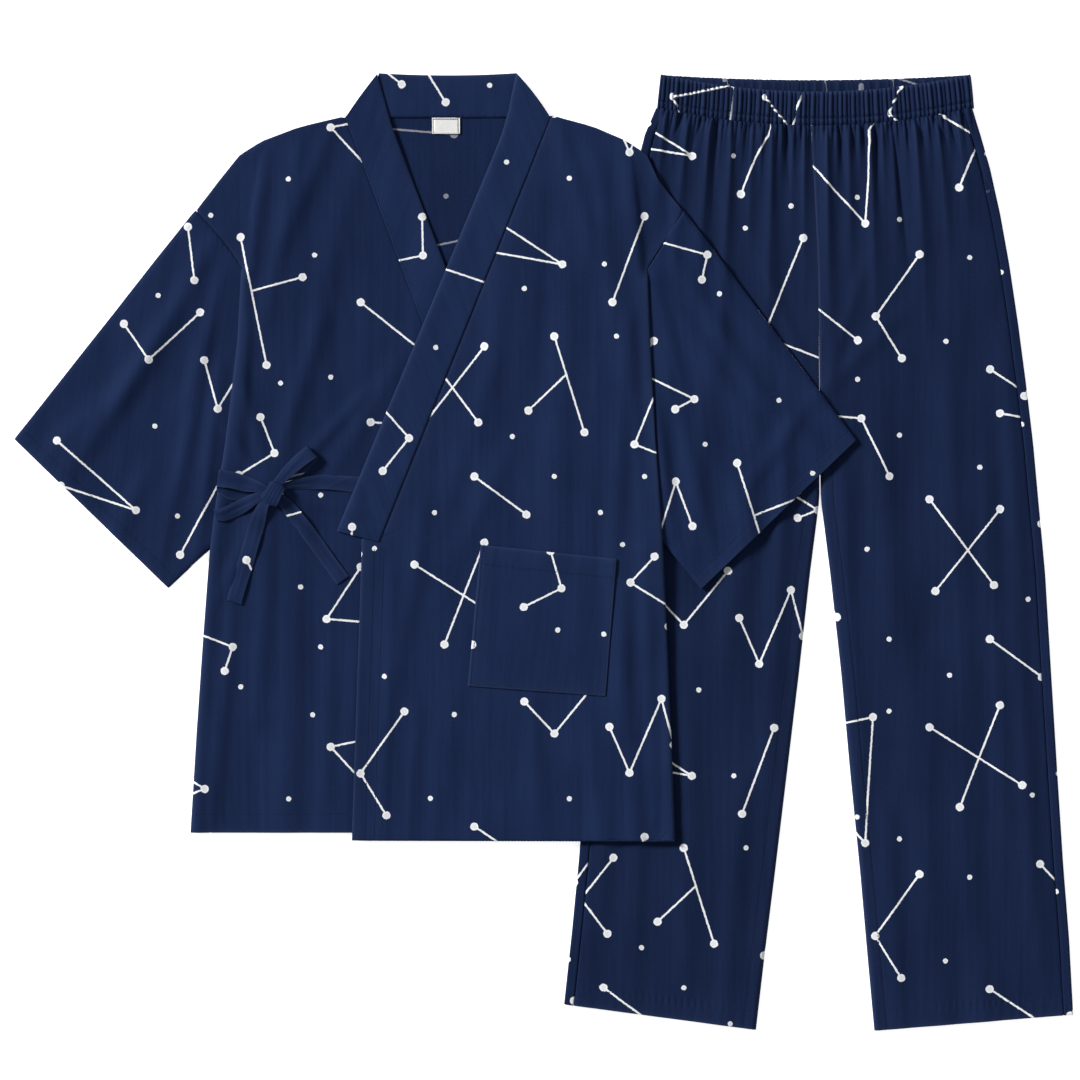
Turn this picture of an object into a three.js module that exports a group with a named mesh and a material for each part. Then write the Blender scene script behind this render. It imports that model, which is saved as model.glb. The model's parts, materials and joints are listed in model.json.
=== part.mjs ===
// A jinbei set laid flat: a wrap jacket tied with a bow at the side, lying over one leg of its trousers.
// Millimetres. +X is to the right of someone looking down at the set, +Y is towards the collar and
// waistband, +Z is up from the surface that the set lies on. The origin is the middle of its underside.
import * as THREE from "three";

// ---- driving sizes ----------------------------------------------------------------------------
const CLOTH = 1.0; // wall of one layer of cloth
const BAND_CLOTH = 1.6; // the collar band is a strip folded double
const SEAM_GAP = 0.3; // between two pieces that are sewn edge to edge, and between layers
const LAYER = CLOTH + SEAM_GAP; // one layer resting on another
const FOLD_RISE = 2.6; // between the two walls of a flattened sleeve
const LEG_RISE = 3.0; // between the back and the front of a flattened leg
const SIDE_WRAP = 9; // how far the trouser back wraps over the side onto the front
const JACKET_AT = { x: -96, y: 478.5 }; // middle of the collar's top edge
const TROUSERS_AT = { x: 272.5, y: 477.5 }; // middle of the waistband's top edge
const RESTING = CLOTH / 2; // mid-surface height of cloth lying on the surface
const OVER_TROUSERS = RESTING + LEG_RISE + CLOTH / 2 + SEAM_GAP; // lift of what lies on the trousers

const NAVY = { color: 0x1c2747, roughness: 0.85, metalness: 0 };
const WHITE = { color: 0xf0efea, roughness: 0.7, metalness: 0 };

// ---- small helpers ----------------------------------------------------------------------------
const mix = (a, b, t) => a + (b - a) * t;
const clamp01 = (t) => Math.min(1, Math.max(0, t));
const smooth = (t) => clamp01(t) ** 2 * (3 - 2 * clamp01(t));

// Linear reading of a table column at a drop below the garment's top edge.
function columnAt(rows, column, drop) {
  const last = rows.length - 1;
  if (drop <= rows[0].drop) return rows[0][column];
  if (drop >= rows[last].drop) return rows[last][column];
  const i = rows.findIndex((row) => row.drop >= drop);
  const t = (drop - rows[i - 1].drop) / (rows[i].drop - rows[i - 1].drop);
  return mix(rows[i - 1][column], rows[i][column], t);
}

// A wall of cloth on a grid of mid-surface points: rows run along the piece, columns across it.
// A wrapped grid joins its last column to its first, as a tube does.
function clothWall(grid, thickness = CLOTH, wrapped = false) {
  const rows = grid.length;
  const columns = grid[0].length;
  const at = (i, j) => grid[Math.min(rows - 1, Math.max(0, i))][
    wrapped ? (j + columns) % columns : Math.min(columns - 1, Math.max(0, j))];
  const points = [];
  for (const side of [1, -1]) {
    for (let i = 0; i < rows; i++) {
      for (let j = 0; j < columns; j++) {
        const along = at(i + 1, j).clone().sub(at(i - 1, j));
        const across = at(i, j + 1).clone().sub(at(i, j - 1));
        const normal = along.cross(across).normalize();
        points.push(at(i, j).clone().addScaledVector(normal, side * thickness / 2));
      }
    }
  }
  const upper = (i, j) => i * columns + (wrapped ? j % columns : j);
  const lower = (i, j) => rows * columns + upper(i, j);
  const index = [];
  const quad = (a, b, c, d) => index.push(a, b, c, a, c, d);
  const steps = wrapped ? columns : columns - 1;
  for (let j = 0; j < steps; j++) {
    for (let i = 0; i < rows - 1; i++) {
      quad(upper(i, j), upper(i + 1, j), upper(i + 1, j + 1), upper(i, j + 1));
      quad(lower(i, j), lower(i, j + 1), lower(i + 1, j + 1), lower(i + 1, j));
    }
    quad(upper(0, j), upper(0, j + 1), lower(0, j + 1), lower(0, j));
    quad(upper(rows - 1, j), lower(rows - 1, j), lower(rows - 1, j + 1), upper(rows - 1, j + 1));
  }
  for (let i = 0; i < rows - 1 && !wrapped; i++) {
    const j = columns - 1;
    quad(upper(i, 0), lower(i, 0), lower(i + 1, 0), upper(i + 1, 0));
    quad(upper(i, j), upper(i + 1, j), lower(i + 1, j), lower(i, j));
  }
  const geometry = new THREE.BufferGeometry();
  geometry.setAttribute("position", new THREE.Float32BufferAttribute(points.flatMap((p) => [p.x, p.y, p.z]), 3));
  geometry.setIndex(index);
  return geometry;
}

const set = new THREE.Group();

function addPiece(name, geometry, finish = NAVY) {
  const mesh = new THREE.Mesh(geometry, new THREE.MeshStandardMaterial(finish));
  mesh.name = name;
  set.add(mesh);
}

// ================================ TROUSERS =====================================================
// Drops are measured down from the waistband's top edge, x from the middle of the waist.
const WAIST_SIDE_DROP = 34; // bottom of the waistband at the sides
const WAIST_SAG = 17; // how much lower the front of the waistband hangs at its middle
const BACK_SAG = 5; // and the back of it
const WAIST_HALF = 155;
const WAIST_FLARE = 0.02; // the waistband is this share wider at its seam than at its top edge
const WAIST_RISE = 3.4; // between the two walls of the gathered waistband
const SAG_FADES_BY = 170; // the front's sag has died out this far below the seam
const CROTCH_DROP = 311;
const LEGS_PART_DROP = 425; // the inner edges touch from the crotch down to here

const trouserEdges = [
  // right leg of the wearer is the left one here
  { drop: 34, outerRight: -159, innerRight: -4, innerLeft: -3.7, outerLeft: 156 },
  { drop: 60, outerRight: -170, innerRight: -4, innerLeft: -3.7, outerLeft: 164 },
  { drop: 95, outerRight: -179, innerRight: -2, innerLeft: -1.7, outerLeft: 174 },
  { drop: 140, outerRight: -188, innerRight: 0, innerLeft: 0.3, outerLeft: 184 },
  { drop: 190, outerRight: -196, innerRight: 2, innerLeft: 2.3, outerLeft: 193 },
  { drop: 250, outerRight: -203, innerRight: 3, innerLeft: 3.3, outerLeft: 202 },
  { drop: CROTCH_DROP, outerRight: -209, innerRight: 3.4, innerLeft: 4, outerLeft: 210 },
  { drop: 370, outerRight: -214, innerRight: 3.6, innerLeft: 4.6, outerLeft: 217 },
  { drop: LEGS_PART_DROP, outerRight: -217, innerRight: 3.6, innerLeft: 5.4, outerLeft: 222 },
  { drop: 500, outerRight: -220, innerRight: -6, innerLeft: 15, outerLeft: 229 },
  { drop: 600, outerRight: -224, innerRight: -17, innerLeft: 26, outerLeft: 235 },
  { drop: 700, outerRight: -229, innerRight: -29, innerLeft: 35, outerLeft: 241 },
  { drop: 800, outerRight: -236, innerRight: -41, innerLeft: 45, outerLeft: 247 },
  { drop: 880, outerRight: -243, innerRight: -51, innerLeft: 52, outerLeft: 253 },
  { drop: 957, outerRight: -251, innerRight: -60, innerLeft: 59, outerLeft: 257 },
];
const HEM = {
  right: { outerDrop: 931, innerDrop: 956 },
  left: { outerDrop: 941, innerDrop: 957 },
};
const LEG_ROWS = [34, 60, 95, 140, 190, 250, 311, 370, 425, 500, 600, 700, 800, 880, 957];

const hang = (x) => Math.max(0, 1 - (x / WAIST_HALF) ** 2);
const frontSag = (x, drop) => WAIST_SAG * hang(x) * clamp01(1 - (drop - 34) / SAG_FADES_BY);
const backSag = (x, drop) => BACK_SAG * hang(x) * clamp01(1 - (drop - 34) / SAG_FADES_BY);

// A point of the trousers in the set's frame.
const onTrousers = (x, drop, z) => new THREE.Vector3(TROUSERS_AT.x + x, TROUSERS_AT.y - drop, z);

// The hem slants across a leg, so the lowest rows turn to lie along it.
function legDrop(side, share, drop) {
  const hem = HEM[side];
  const lowest = mix(hem.outerDrop, hem.innerDrop, share);
  const bend = smooth((drop - 600) / (957 - 600));
  return drop + (lowest - 957) * bend;
}

function legSpan(side, drop) {
  const outer = columnAt(trouserEdges, side === "right" ? "outerRight" : "outerLeft", drop);
  const inner = columnAt(trouserEdges, side === "right" ? "innerRight" : "innerLeft", drop);
  return { outer, inner };
}

// The front of a leg lies between the two seams, level with the back's wrapped-over edge.
function legFront(side) {
  const inward = side === "right" ? 1 : -1;
  return LEG_ROWS.map((drop) => {
    const { outer, inner } = legSpan(side, drop);
    const seam = outer + inward * (SIDE_WRAP + SEAM_GAP);
    const row = [];
    for (let j = 0; j <= 6; j++) {
      const share = j / 6;
      const x = mix(seam, inner, share);
      const y = legDrop(side, (x - outer) / (inner - outer), drop + frontSag(x, drop));
      row.push(onTrousers(x, y + (drop === 34 ? SEAM_GAP : 0), RESTING + LEG_RISE));
    }
    return side === "right" ? row : row.reverse();
  });
}

// The back of a leg lies on the surface and wraps round the side fold onto the front.
function legBack(side) {
  const inward = side === "right" ? 1 : -1;
  const radius = LEG_RISE / 2;
  return LEG_ROWS.map((drop) => {
    const { outer, inner } = legSpan(side, drop);
    const section = [{ x: outer + inward * SIDE_WRAP, z: RESTING + LEG_RISE }];
    for (let k = 0; k <= 4; k++) {
      const turn = (k / 4) * Math.PI;
      section.push({
        x: outer + inward * radius * (1 - Math.sin(turn)),
        z: RESTING + radius * (1 + Math.cos(turn)),
      });
    }
    for (let j = 1; j <= 5; j++) {
      section.push({ x: mix(outer + inward * radius, inner, j / 5), z: RESTING });
    }
    const row = section.map(({ x, z }) => {
      const share = (x - outer) / (inner - outer);
      const sag = mix(backSag(x, drop), frontSag(x, drop), (z - RESTING) / LEG_RISE);
      return onTrousers(x, legDrop(side, share, drop + sag) + (drop === 34 ? SEAM_GAP : 0), z);
    });
    return side === "right" ? row : row.reverse();
  });
}

// The elastic waistband is one ring, pressed flat, with its front hanging lower than its back.
function waistband() {
  const rows = [0, 0.5, 1];
  const sideRadius = WAIST_RISE / 2;
  const ring = [];
  for (let j = 0; j <= 12; j++) ring.push({ x: mix(-WAIST_HALF, WAIST_HALF, j / 12), z: RESTING + WAIST_RISE, sag: WAIST_SAG });
  ring.push({ x: WAIST_HALF + sideRadius, z: RESTING + sideRadius, sag: WAIST_SAG });
  for (let j = 12; j >= 0; j--) ring.push({ x: mix(-WAIST_HALF, WAIST_HALF, j / 12), z: RESTING, sag: BACK_SAG });
  ring.push({ x: -WAIST_HALF - sideRadius, z: RESTING + sideRadius, sag: WAIST_SAG });
  return rows.map((share) => ring.map(({ x, z, sag }) => {
    const flare = 1 + WAIST_FLARE * (share - 0.5);
    return onTrousers(x * flare, share * WAIST_SIDE_DROP + sag * hang(x * flare), z);
  }));
}

for (const side of ["right", "left"]) {
  addPiece(`trousers_back_${side}`, clothWall(legBack(side)));
  addPiece(`trousers_front_${side}`, clothWall(legFront(side)));
}
addPiece("waistband", clothWall(waistband(), CLOTH, true));

// ================================ JACKET =======================================================
// Drops are measured down from the collar's top edge, x from the middle of the neck.
const onJacket = (x, drop, z) => new THREE.Vector3(JACKET_AT.x + x, JACKET_AT.y - drop, ground(x, drop) + z);

// The jacket rises onto the trousers over a long gentle slope beside their outer edge.
const SLOPE_STARTS = 30; // full height this far outside the trousers' edge
const SLOPE_LENGTH = 150;

function ground(x, drop) {
  const trouserX = x + JACKET_AT.x - TROUSERS_AT.x;
  const edge = columnAt(trouserEdges, "outerRight", drop);
  const outside = edge - trouserX;
  return OVER_TROUSERS * smooth(1 - (outside - SLOPE_STARTS) / SLOPE_LENGTH);
}

// Mid-surface heights above the ground, layer by layer.
const BACK_Z = RESTING;
const SLEEVE_LOW_Z = BACK_Z + LAYER;
const SLEEVE_TOP_Z = SLEEVE_LOW_Z + FOLD_RISE;
const UNDER_FRONT_Z = BACK_Z + LAYER;
const OVER_FRONT_Z = UNDER_FRONT_Z + BAND_CLOTH + 2 * SEAM_GAP; // clear of the other front's band
const SIDE_Z = SLEEVE_TOP_Z + LAYER; // the fronts pass over the sleeves at the sides

// Side edges of the body. Above the underarm each front also has a dropped shoulder that
// runs out from the crease at the armhole to the sleeve seam.
const bodyEdges = [
  { drop: 44, left: -107, creaseLeft: -105, creaseRight: 106, right: 108 },
  { drop: 54, left: -149, creaseLeft: -145, creaseRight: 141, right: 145 },
  { drop: 68, left: -186, creaseLeft: -180, creaseRight: 170, right: 178 },
  { drop: 82, left: -208, creaseLeft: -187, creaseRight: 184, right: 199 },
  { drop: 108, left: -229, creaseLeft: -190, creaseRight: 187, right: 211 },
  { drop: 138, left: -252, creaseLeft: -194.5, creaseRight: 190, right: 235 },
  { drop: 155, left: -237, creaseLeft: -197, creaseRight: 192, right: 226 },
  { drop: 174, left: -220, creaseLeft: -199.5, creaseRight: 193.5, right: 213 },
  { drop: 195, left: -206, creaseLeft: -202, creaseRight: 195.5, right: 199.5 },
  { drop: 270, left: -210, creaseLeft: -206, creaseRight: 198.5, right: 202.5 },
  { drop: 366, left: -221.5, creaseLeft: -217.5, creaseRight: 203.5, right: 207.5 },
  { drop: 440, left: -233, creaseLeft: -229, creaseRight: 209, right: 213 },
  { drop: 482, left: -238, creaseLeft: -234, creaseRight: 211.5, right: 215.5 },
  { drop: 560, left: -244, creaseLeft: -240, creaseRight: 215, right: 219 },
  { drop: 660, left: -251, creaseLeft: -247, creaseRight: 219, right: 223 },
  { drop: 768, left: -257.5, creaseLeft: -253.5, creaseRight: 223, right: 227 },
];
const BODY_ROWS = bodyEdges.map((row) => row.drop);
const UNDERARM_DROP = 195;
const SLEEVE_LEAVES_DROP = 500; // below this no sleeve lies between the front and the back

// The collar band down each front: its outer edge is sewn to the front, its inner edge is the fold at
// the neckline. It starts as a point at the top of the neck and is straight from the shoulder down.
const UNDER_SEAM = { topX: -102, topDrop: 44, endX: 57, endDrop: 468 };
const OVER_SEAM = { topX: 103, topDrop: 44, endX: -68.5, endDrop: 469 };
const BAND_ACROSS = 46; // the band's width measured level
const FRONT_STEP = 17; // how far the front edge stands out past the seam below the band's end
const STEP_DROP = 470; // where it stands out: just below the band's end, which slants
const STEP_LIFT = 4.6; // how much higher the front edge starts than the seam ends, along that slant
const OVER_HEM_DROP = 768;
const UNDER_HEM_DROP = 760;
const BACK_HEM_DROP = 757;

function seamX(seam, drop) {
  return mix(seam.topX, seam.endX, (drop - seam.topDrop) / (seam.endDrop - seam.topDrop));
}

// Height of a front over the body: up over the tucked sleeve near the side, down to the back at the
// shoulder line, and down again below the sleeve.
function frontHeight(x, drop, level) {
  const inside = Math.min(x - columnAt(bodyEdges, "creaseLeft", drop), columnAt(bodyEdges, "creaseRight", drop) - x);
  const nearSide = smooth(1 - (inside - 42) / 60);
  const beside = smooth((SLEEVE_LEAVES_DROP + 90 - drop) / 90) * smooth((drop - 60) / 60);
  return Math.max(level, mix(level, SIDE_Z, nearSide * beside));
}

function frontPanel(isOver) {
  const level = isOver ? OVER_FRONT_Z : UNDER_FRONT_Z;
  const seam = isOver ? OVER_SEAM : UNDER_SEAM;
  const hem = isOver ? OVER_HEM_DROP : UNDER_HEM_DROP;
  const inward = isOver ? -1 : 1; // from the side towards the front edge
  const lowerRows = [469.4, STEP_DROP, 480, 560, 660, hem];
  const drops = [...BODY_ROWS.filter((drop) => drop < 460), ...lowerRows];
  return drops.map((drop) => {
    const outer = columnAt(bodyEdges, isOver ? "right" : "left", drop);
    const crease = columnAt(bodyEdges, isOver ? "creaseRight" : "creaseLeft", drop);
    let front = seamX(seam, Math.max(drop, seam.topDrop)) - inward * (SEAM_GAP + 0.1);
    const stepped = drop >= STEP_DROP;
    if (stepped) front = seam.endX + inward * (FRONT_STEP + (drop - STEP_DROP) * 0.034);
    const dropped = drop > 68 && drop < UNDERARM_DROP;
    const row = [];
    const edgeLevel = dropped ? SLEEVE_TOP_Z : frontHeight(crease, drop, level);
    const rolled = drop < 75 || drop > 600 ? UNDER_FRONT_Z : edgeLevel;
    row.push(onJacket(outer, drop, rolled));
    row.push(onJacket(mix(outer, crease, 0.6), drop, dropped ? SLEEVE_TOP_Z : edgeLevel));
    for (let j = 0; j <= 8; j++) {
      let x = mix(crease, front, j / 8);
      // below the band the last column but one carries on from the seam
      if (stepped && j < 8) x = mix(crease, seam.endX - inward * (SEAM_GAP + 0.1), j / 7);
      const lifted = drop === STEP_DROP && j === 8 ? STEP_LIFT : 0;
      row.push(onJacket(x, drop - lifted, frontHeight(x, drop, level)));
    }
    return isOver ? row.reverse() : row;
  });
}

function backPanel() {
  const drops = [...BODY_ROWS.slice(0, -1), BACK_HEM_DROP];
  return drops.map((drop) => {
    const left = columnAt(bodyEdges, "left", drop) + 0.5;
    const right = columnAt(bodyEdges, "right", drop) - 0.5;
    const row = [];
    for (let j = 0; j <= 14; j++) row.push(onJacket(mix(left, right, j / 14), drop, BACK_Z));
    return row;
  });
}

addPiece("jacket_back", clothWall(backPanel()));
addPiece("jacket_front_right", clothWall(frontPanel(false)));
addPiece("jacket_front_left", clothWall(frontPanel(true)));

// ---- sleeves: flattened tubes from the cuff up to the armhole seam ----
// The under edge runs up from the cuff and then just inside the body's side, beneath the front.
// The bow is how far the armhole seam curves in towards the body between its ends.
const rightSleeve = {
  inward: 1,
  bow: 2.4,
  tip: { x: -432.5, drop: 367 },
  seam: { x: -253.4, drop: 139.5 },
  under: [
    { x: -280.5, drop: 514 }, { x: -258, drop: 493 }, { x: -235.5, drop: 472 }, { x: -212, drop: 447 },
    { x: -203, drop: 407 }, { x: -199, drop: 360 }, { x: -194, drop: 310 }, { x: -190, drop: 262 },
    { x: -193, drop: 226 }, { x: -206.5, drop: 196.5 },
  ],
};
const leftSleeve = {
  inward: -1,
  bow: -0.3,
  tip: { x: 407.5, drop: 368 },
  seam: { x: 236.6, drop: 139.5 },
  under: [
    { x: 254.5, drop: 515 }, { x: 234.5, drop: 490 }, { x: 213.5, drop: 465 }, { x: 193, drop: 440 },
    { x: 189, drop: 397 }, { x: 186, drop: 352 }, { x: 182.5, drop: 307 }, { x: 179.5, drop: 262 },
    { x: 183, drop: 226 }, { x: 200.4, drop: 196.5 },
  ],
};

function sleeve({ inward, bow, tip, seam, under }) {
  const last = under.length - 1;
  return under.map((low, i) => {
    const share = i / last;
    const high = { x: mix(tip.x, seam.x, share), drop: mix(tip.drop, seam.drop, share) };
    const width = Math.hypot(low.x - high.x, low.drop - high.drop);
    const edge = FOLD_RISE / 2 / width; // the fold's radius as a share of the width
    const point = (t, z) => {
      const curve = i === last ? bow * 4 * t * (1 - t) : 0;
      const x = mix(high.x, low.x, t) + (inward * curve * (low.drop - high.drop)) / width;
      const drop = mix(high.drop, low.drop, t) - (curve * Math.abs(low.x - high.x)) / width;
      const side = columnAt(bodyEdges, inward > 0 ? "left" : "right", drop);
      const outside = (side - x) * inward;
      const onBack = smooth(1 - (outside - 35) / 90);
      return onJacket(x, drop, z + mix(0, LAYER, onBack));
    };
    const ring = [];
    for (let j = 0; j <= 7; j++) ring.push(point(mix(edge, 1 - edge, j / 7), RESTING + FOLD_RISE));
    ring.push(point(1, RESTING + FOLD_RISE / 2));
    for (let j = 7; j >= 0; j--) ring.push(point(mix(edge, 1 - edge, j / 7), RESTING));
    ring.push(point(0, RESTING + FOLD_RISE / 2));
    return inward > 0 ? ring : ring.reverse();
  });
}

// Rows run down the garment, so the sleeve's list is turned to start at the armhole.
addPiece("sleeve_right", clothWall(sleeve(rightSleeve).reverse(), CLOTH, true));
addPiece("sleeve_left", clothWall(sleeve(leftSleeve).reverse(), CLOTH, true));

// ---- collar: one long folded strip, in the three stretches that show ----
// The stretch at the back of the neck runs on under the two front bands at both ends.
const NECK_HALF = 70; // the fold of the band at each side of the neck, at the top
const COLLAR_SEAM_DROP = 44; // seam between the back and the band
const COLLAR_BACK_SAG = 2;

function collarBack() {
  const rows = [0, 0.5, 1];
  return rows.map((share) => {
    const half = mix(NECK_HALF - 1, NECK_HALF + 10, share);
    const row = [];
    for (let j = 0; j <= 8; j++) {
      const t = j / 8;
      const sag = COLLAR_BACK_SAG * Math.sin(Math.PI * t) * (1 - share);
      const drop = share * (COLLAR_SEAM_DROP - SEAM_GAP) + sag;
      row.push(onJacket(mix(-half, half, t), drop, BACK_Z + 1.1));
    }
    return row;
  });
}

// A front band: its outer edge is sewn to the front, its inner edge is the fold at the neckline.
// It starts as a point at the top of the neck and reaches its full width at the shoulder.
function collarFront(isOver) {
  const seam = isOver ? OVER_SEAM : UNDER_SEAM;
  const inward = isOver ? -1 : 1;
  const level = (isOver ? OVER_FRONT_Z : UNDER_FRONT_Z) + (BAND_CLOTH - CLOTH) / 2;
  const table = isOver
    ? [
        { outer: 71, outerDrop: 0, inner: 67, innerDrop: 1 },
        { outer: 88, outerDrop: 22, inner: 62, innerDrop: 36 },
        { outer: seam.topX, outerDrop: seam.topDrop, inner: 55, innerDrop: 60 },
        { outer: seamX(seam, 58), outerDrop: 58, inner: 46, innerDrop: 83 },
      ]
    : [
        { outer: -71, outerDrop: 0, inner: -68, innerDrop: 1 },
        { outer: -87, outerDrop: 22, inner: -64, innerDrop: 25 },
        { outer: seam.topX, outerDrop: seam.topDrop, inner: -57, innerDrop: 50 },
        { outer: seamX(seam, 58), outerDrop: 58, inner: -51, innerDrop: 67 },
      ];
  const firstRun = table[table.length - 1];
  for (let i = 1; i <= 9; i++) {
    const outerDrop = mix(firstRun.outerDrop, seam.endDrop, i / 9);
    const endSlope = mix(firstRun.innerDrop - firstRun.outerDrop, -11, i / 9);
    const endWidth = mix(Math.abs(firstRun.inner - firstRun.outer), BAND_ACROSS - 4, i / 9);
    const outer = seamX(seam, outerDrop);
    table.push({ outer, outerDrop, inner: outer + inward * endWidth, innerDrop: outerDrop + endSlope });
  }
  return table.map((row) => {
    const points = [];
    for (let j = 0; j <= 3; j++) {
      const t = j / 3;
      const x = mix(row.outer, row.inner, t);
      const drop = mix(row.outerDrop, row.innerDrop, t);
      const rise = smooth((row.outerDrop - 10) / 120);
      points.push(onJacket(x, drop, mix(BACK_Z + 3.1, Math.max(level, 3.6 * (1 - rise)), rise)));
    }
    return isOver ? points.reverse() : points;
  });
}

addPiece("collar_back", clothWall(collarBack(), BAND_CLOTH));
addPiece("collar_right", clothWall(collarFront(false), BAND_CLOTH));
addPiece("collar_left", clothWall(collarFront(true), BAND_CLOTH));

// ---- patch pocket and neck label ----
const pocketCorners = [
  { x: 33.5, drop: 472 }, { x: 169, drop: 486 }, { x: 158, drop: 623 }, { x: 20.5, drop: 613 },
];

function patch(corners, steps, height) {
  const [topLeft, topRight, lowRight, lowLeft] = corners;
  const rows = [];
  for (let i = 0; i <= steps; i++) {
    const row = [];
    for (let j = 0; j <= steps; j++) {
      const top = { x: mix(topLeft.x, topRight.x, j / steps), drop: mix(topLeft.drop, topRight.drop, j / steps) };
      const low = { x: mix(lowLeft.x, lowRight.x, j / steps), drop: mix(lowLeft.drop, lowRight.drop, j / steps) };
      const x = mix(top.x, low.x, i / steps);
      const drop = mix(top.drop, low.drop, i / steps);
      row.push(onJacket(x, drop, height(x, drop)));
    }
    rows.push(row);
  }
  return rows;
}

addPiece("pocket", clothWall(patch(pocketCorners, 6, (x, drop) => frontHeight(x, drop, OVER_FRONT_Z) + LAYER + 0.25)));

const LABEL = { x: -15.5, drop: 44.2, width: 28, height: 16 };
const labelCorners = [
  { x: LABEL.x, drop: LABEL.drop }, { x: LABEL.x + LABEL.width, drop: LABEL.drop },
  { x: LABEL.x + LABEL.width, drop: LABEL.drop + LABEL.height }, { x: LABEL.x, drop: LABEL.drop + LABEL.height },
];
addPiece("neck_label", clothWall(patch(labelCorners, 2, () => BACK_Z + LAYER + 0.1), 0.8), WHITE);

// ---- ties: each is a ribbon from its seam to the knot, a loop of the bow, and a tail ----
const TIE_WIDTH = 15;
const TIE_LIFT = LAYER + 0.7; // above the front it lies on
const KNOT = { x: -174, drop: 420, length: 24, width: 19, height: 9 };
const frontTop = (x, drop) => frontHeight(x, drop, UNDER_FRONT_Z);

// A strip of cloth along a route of { x, drop, lift, width } with its flat side up.
function ribbon(route, across) {
  return route.map((point, i) => {
    const before = route[Math.max(0, i - 1)];
    const after = route[Math.min(route.length - 1, i + 1)];
    const length = Math.hypot(after.x - before.x, after.drop - before.drop);
    const side = across ?? { x: (after.drop - before.drop) / length, drop: -(after.x - before.x) / length };
    return [-1, 0, 1].map((end) => {
      const x = point.x + (side.x * end * point.width) / 2;
      const drop = point.drop + (side.drop * end * point.width) / 2;
      return onJacket(x, drop, frontTop(x, drop) + TIE_LIFT + point.lift);
    });
  });
}

const tails = {
  tie_tail_right: [
    { x: -182, drop: 433, lift: 1.5, width: 10 }, { x: -188, drop: 448, lift: 0.4, width: 13 },
    { x: -194, drop: 472, lift: 0, width: TIE_WIDTH }, { x: -203, drop: 500, lift: 0, width: TIE_WIDTH },
    { x: -213, drop: 529, lift: 0, width: TIE_WIDTH },
  ],
  tie_tail_left: [
    { x: -163, drop: 430, lift: 1.5, width: 11 }, { x: -154, drop: 440, lift: 0.4, width: 14 },
    { x: -140, drop: 460, lift: 0, width: TIE_WIDTH }, { x: -123, drop: 483, lift: 0, width: TIE_WIDTH },
    { x: -105, drop: 507, lift: 0, width: TIE_WIDTH },
  ],
  tie_right: [
    { x: -231, drop: 438, lift: 0, width: TIE_WIDTH }, { x: -214, drop: 434, lift: 0, width: TIE_WIDTH },
    { x: -200, drop: 429, lift: 0.8, width: 11 }, { x: -189, drop: 425, lift: 1.5, width: 7 },
  ],
  tie_left: [
    { x: -158.5, drop: 415.5, lift: 1.5, width: 5 }, { x: -146, drop: 412, lift: 0.6, width: 9 },
    { x: -128, drop: 410, lift: 0, width: 12 }, { x: -108, drop: 410, lift: -0.4, width: 14 },
    // its end passes between the front and the other front's band
    { x: -96, drop: 410.5, lift: -0.9, width: TIE_WIDTH }, { x: -84, drop: 411, lift: -0.9, width: TIE_WIDTH },
  ],
};
for (const [name, route] of Object.entries(tails)) addPiece(name, clothWall(ribbon(route)));

// A loop leaves the knot, turns over at its tip and comes back on top of itself.
function bowLoop(tip, reach, spread) {
  const start = { x: KNOT.x, drop: KNOT.drop };
  const length = Math.hypot(tip.x - start.x, tip.drop - start.drop);
  const dir = { x: (tip.x - start.x) / length, drop: (tip.drop - start.drop) / length };
  const across = { x: dir.drop, drop: -dir.x };
  const sections = [
    { along: reach, lift: 1.2, width: 8 }, { along: mix(reach, length, 0.4), lift: 0.2, width: 12 },
    { along: length - 3, lift: 0, width: TIE_WIDTH }, { along: length - 0.6, lift: spread * 0.25, width: TIE_WIDTH },
    { along: length, lift: spread * 0.5, width: TIE_WIDTH }, { along: length - 0.6, lift: spread * 0.75, width: TIE_WIDTH },
    { along: length - 3, lift: spread, width: TIE_WIDTH },
    { along: mix(reach, length, 0.4), lift: spread + 0.3, width: 12 }, { along: reach, lift: spread - 0.2, width: 8 },
  ];
  const route = sections.map(({ along, lift, width }) => ({
    x: start.x + dir.x * along, drop: start.drop + dir.drop * along, lift, width,
  }));
  return ribbon(route, across);
}

addPiece("bow_loop_right", clothWall(bowLoop({ x: -228.5, drop: 403.5 }, 14.5, 4)));
addPiece("bow_loop_left", clothWall(bowLoop({ x: -135, drop: 381 }, 14.5, 4)));

// The knot is the tie wound once round: a rounded lump, flat where it lies on the jacket.
function knot() {
  const shape = new THREE.SphereGeometry(0.5, 12, 8);
  shape.scale(KNOT.length, KNOT.width, KNOT.height);
  shape.rotateZ(THREE.MathUtils.degToRad(-35));
  const z = frontTop(KNOT.x, KNOT.drop) + KNOT.height / 2 + 0.9;
  const centre = onJacket(KNOT.x, KNOT.drop, z);
  shape.translate(centre.x, centre.y, centre.z);
  return shape;
}

addPiece("bow_knot", knot());

// The origin is the middle of the whole set, on the surface it lies on.
const extent = new THREE.Box3().setFromObject(set);
const middle = extent.getCenter(new THREE.Vector3());
set.position.set(-middle.x, -middle.y, -extent.min.z);

export default set;
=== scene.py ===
# %% [markdown]
# # A jinbei set, laid flat
# A wrap jacket tied with a bow lies over one leg of its elastic-waist trousers. Both are cut from
# one navy cotton printed with small white stars joined by fine lines. The solids of every cut piece
# are loaded first. Each one fixes where its cloth lies, so the cloth is made on it, piece by piece,
# as a thin closed shell with soft creases, stitched hems and gathers.

import json
import math
from functools import lru_cache

import bpy
import numpy as np
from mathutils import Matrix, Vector
from mathutils.bvhtree import BVHTree

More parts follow.
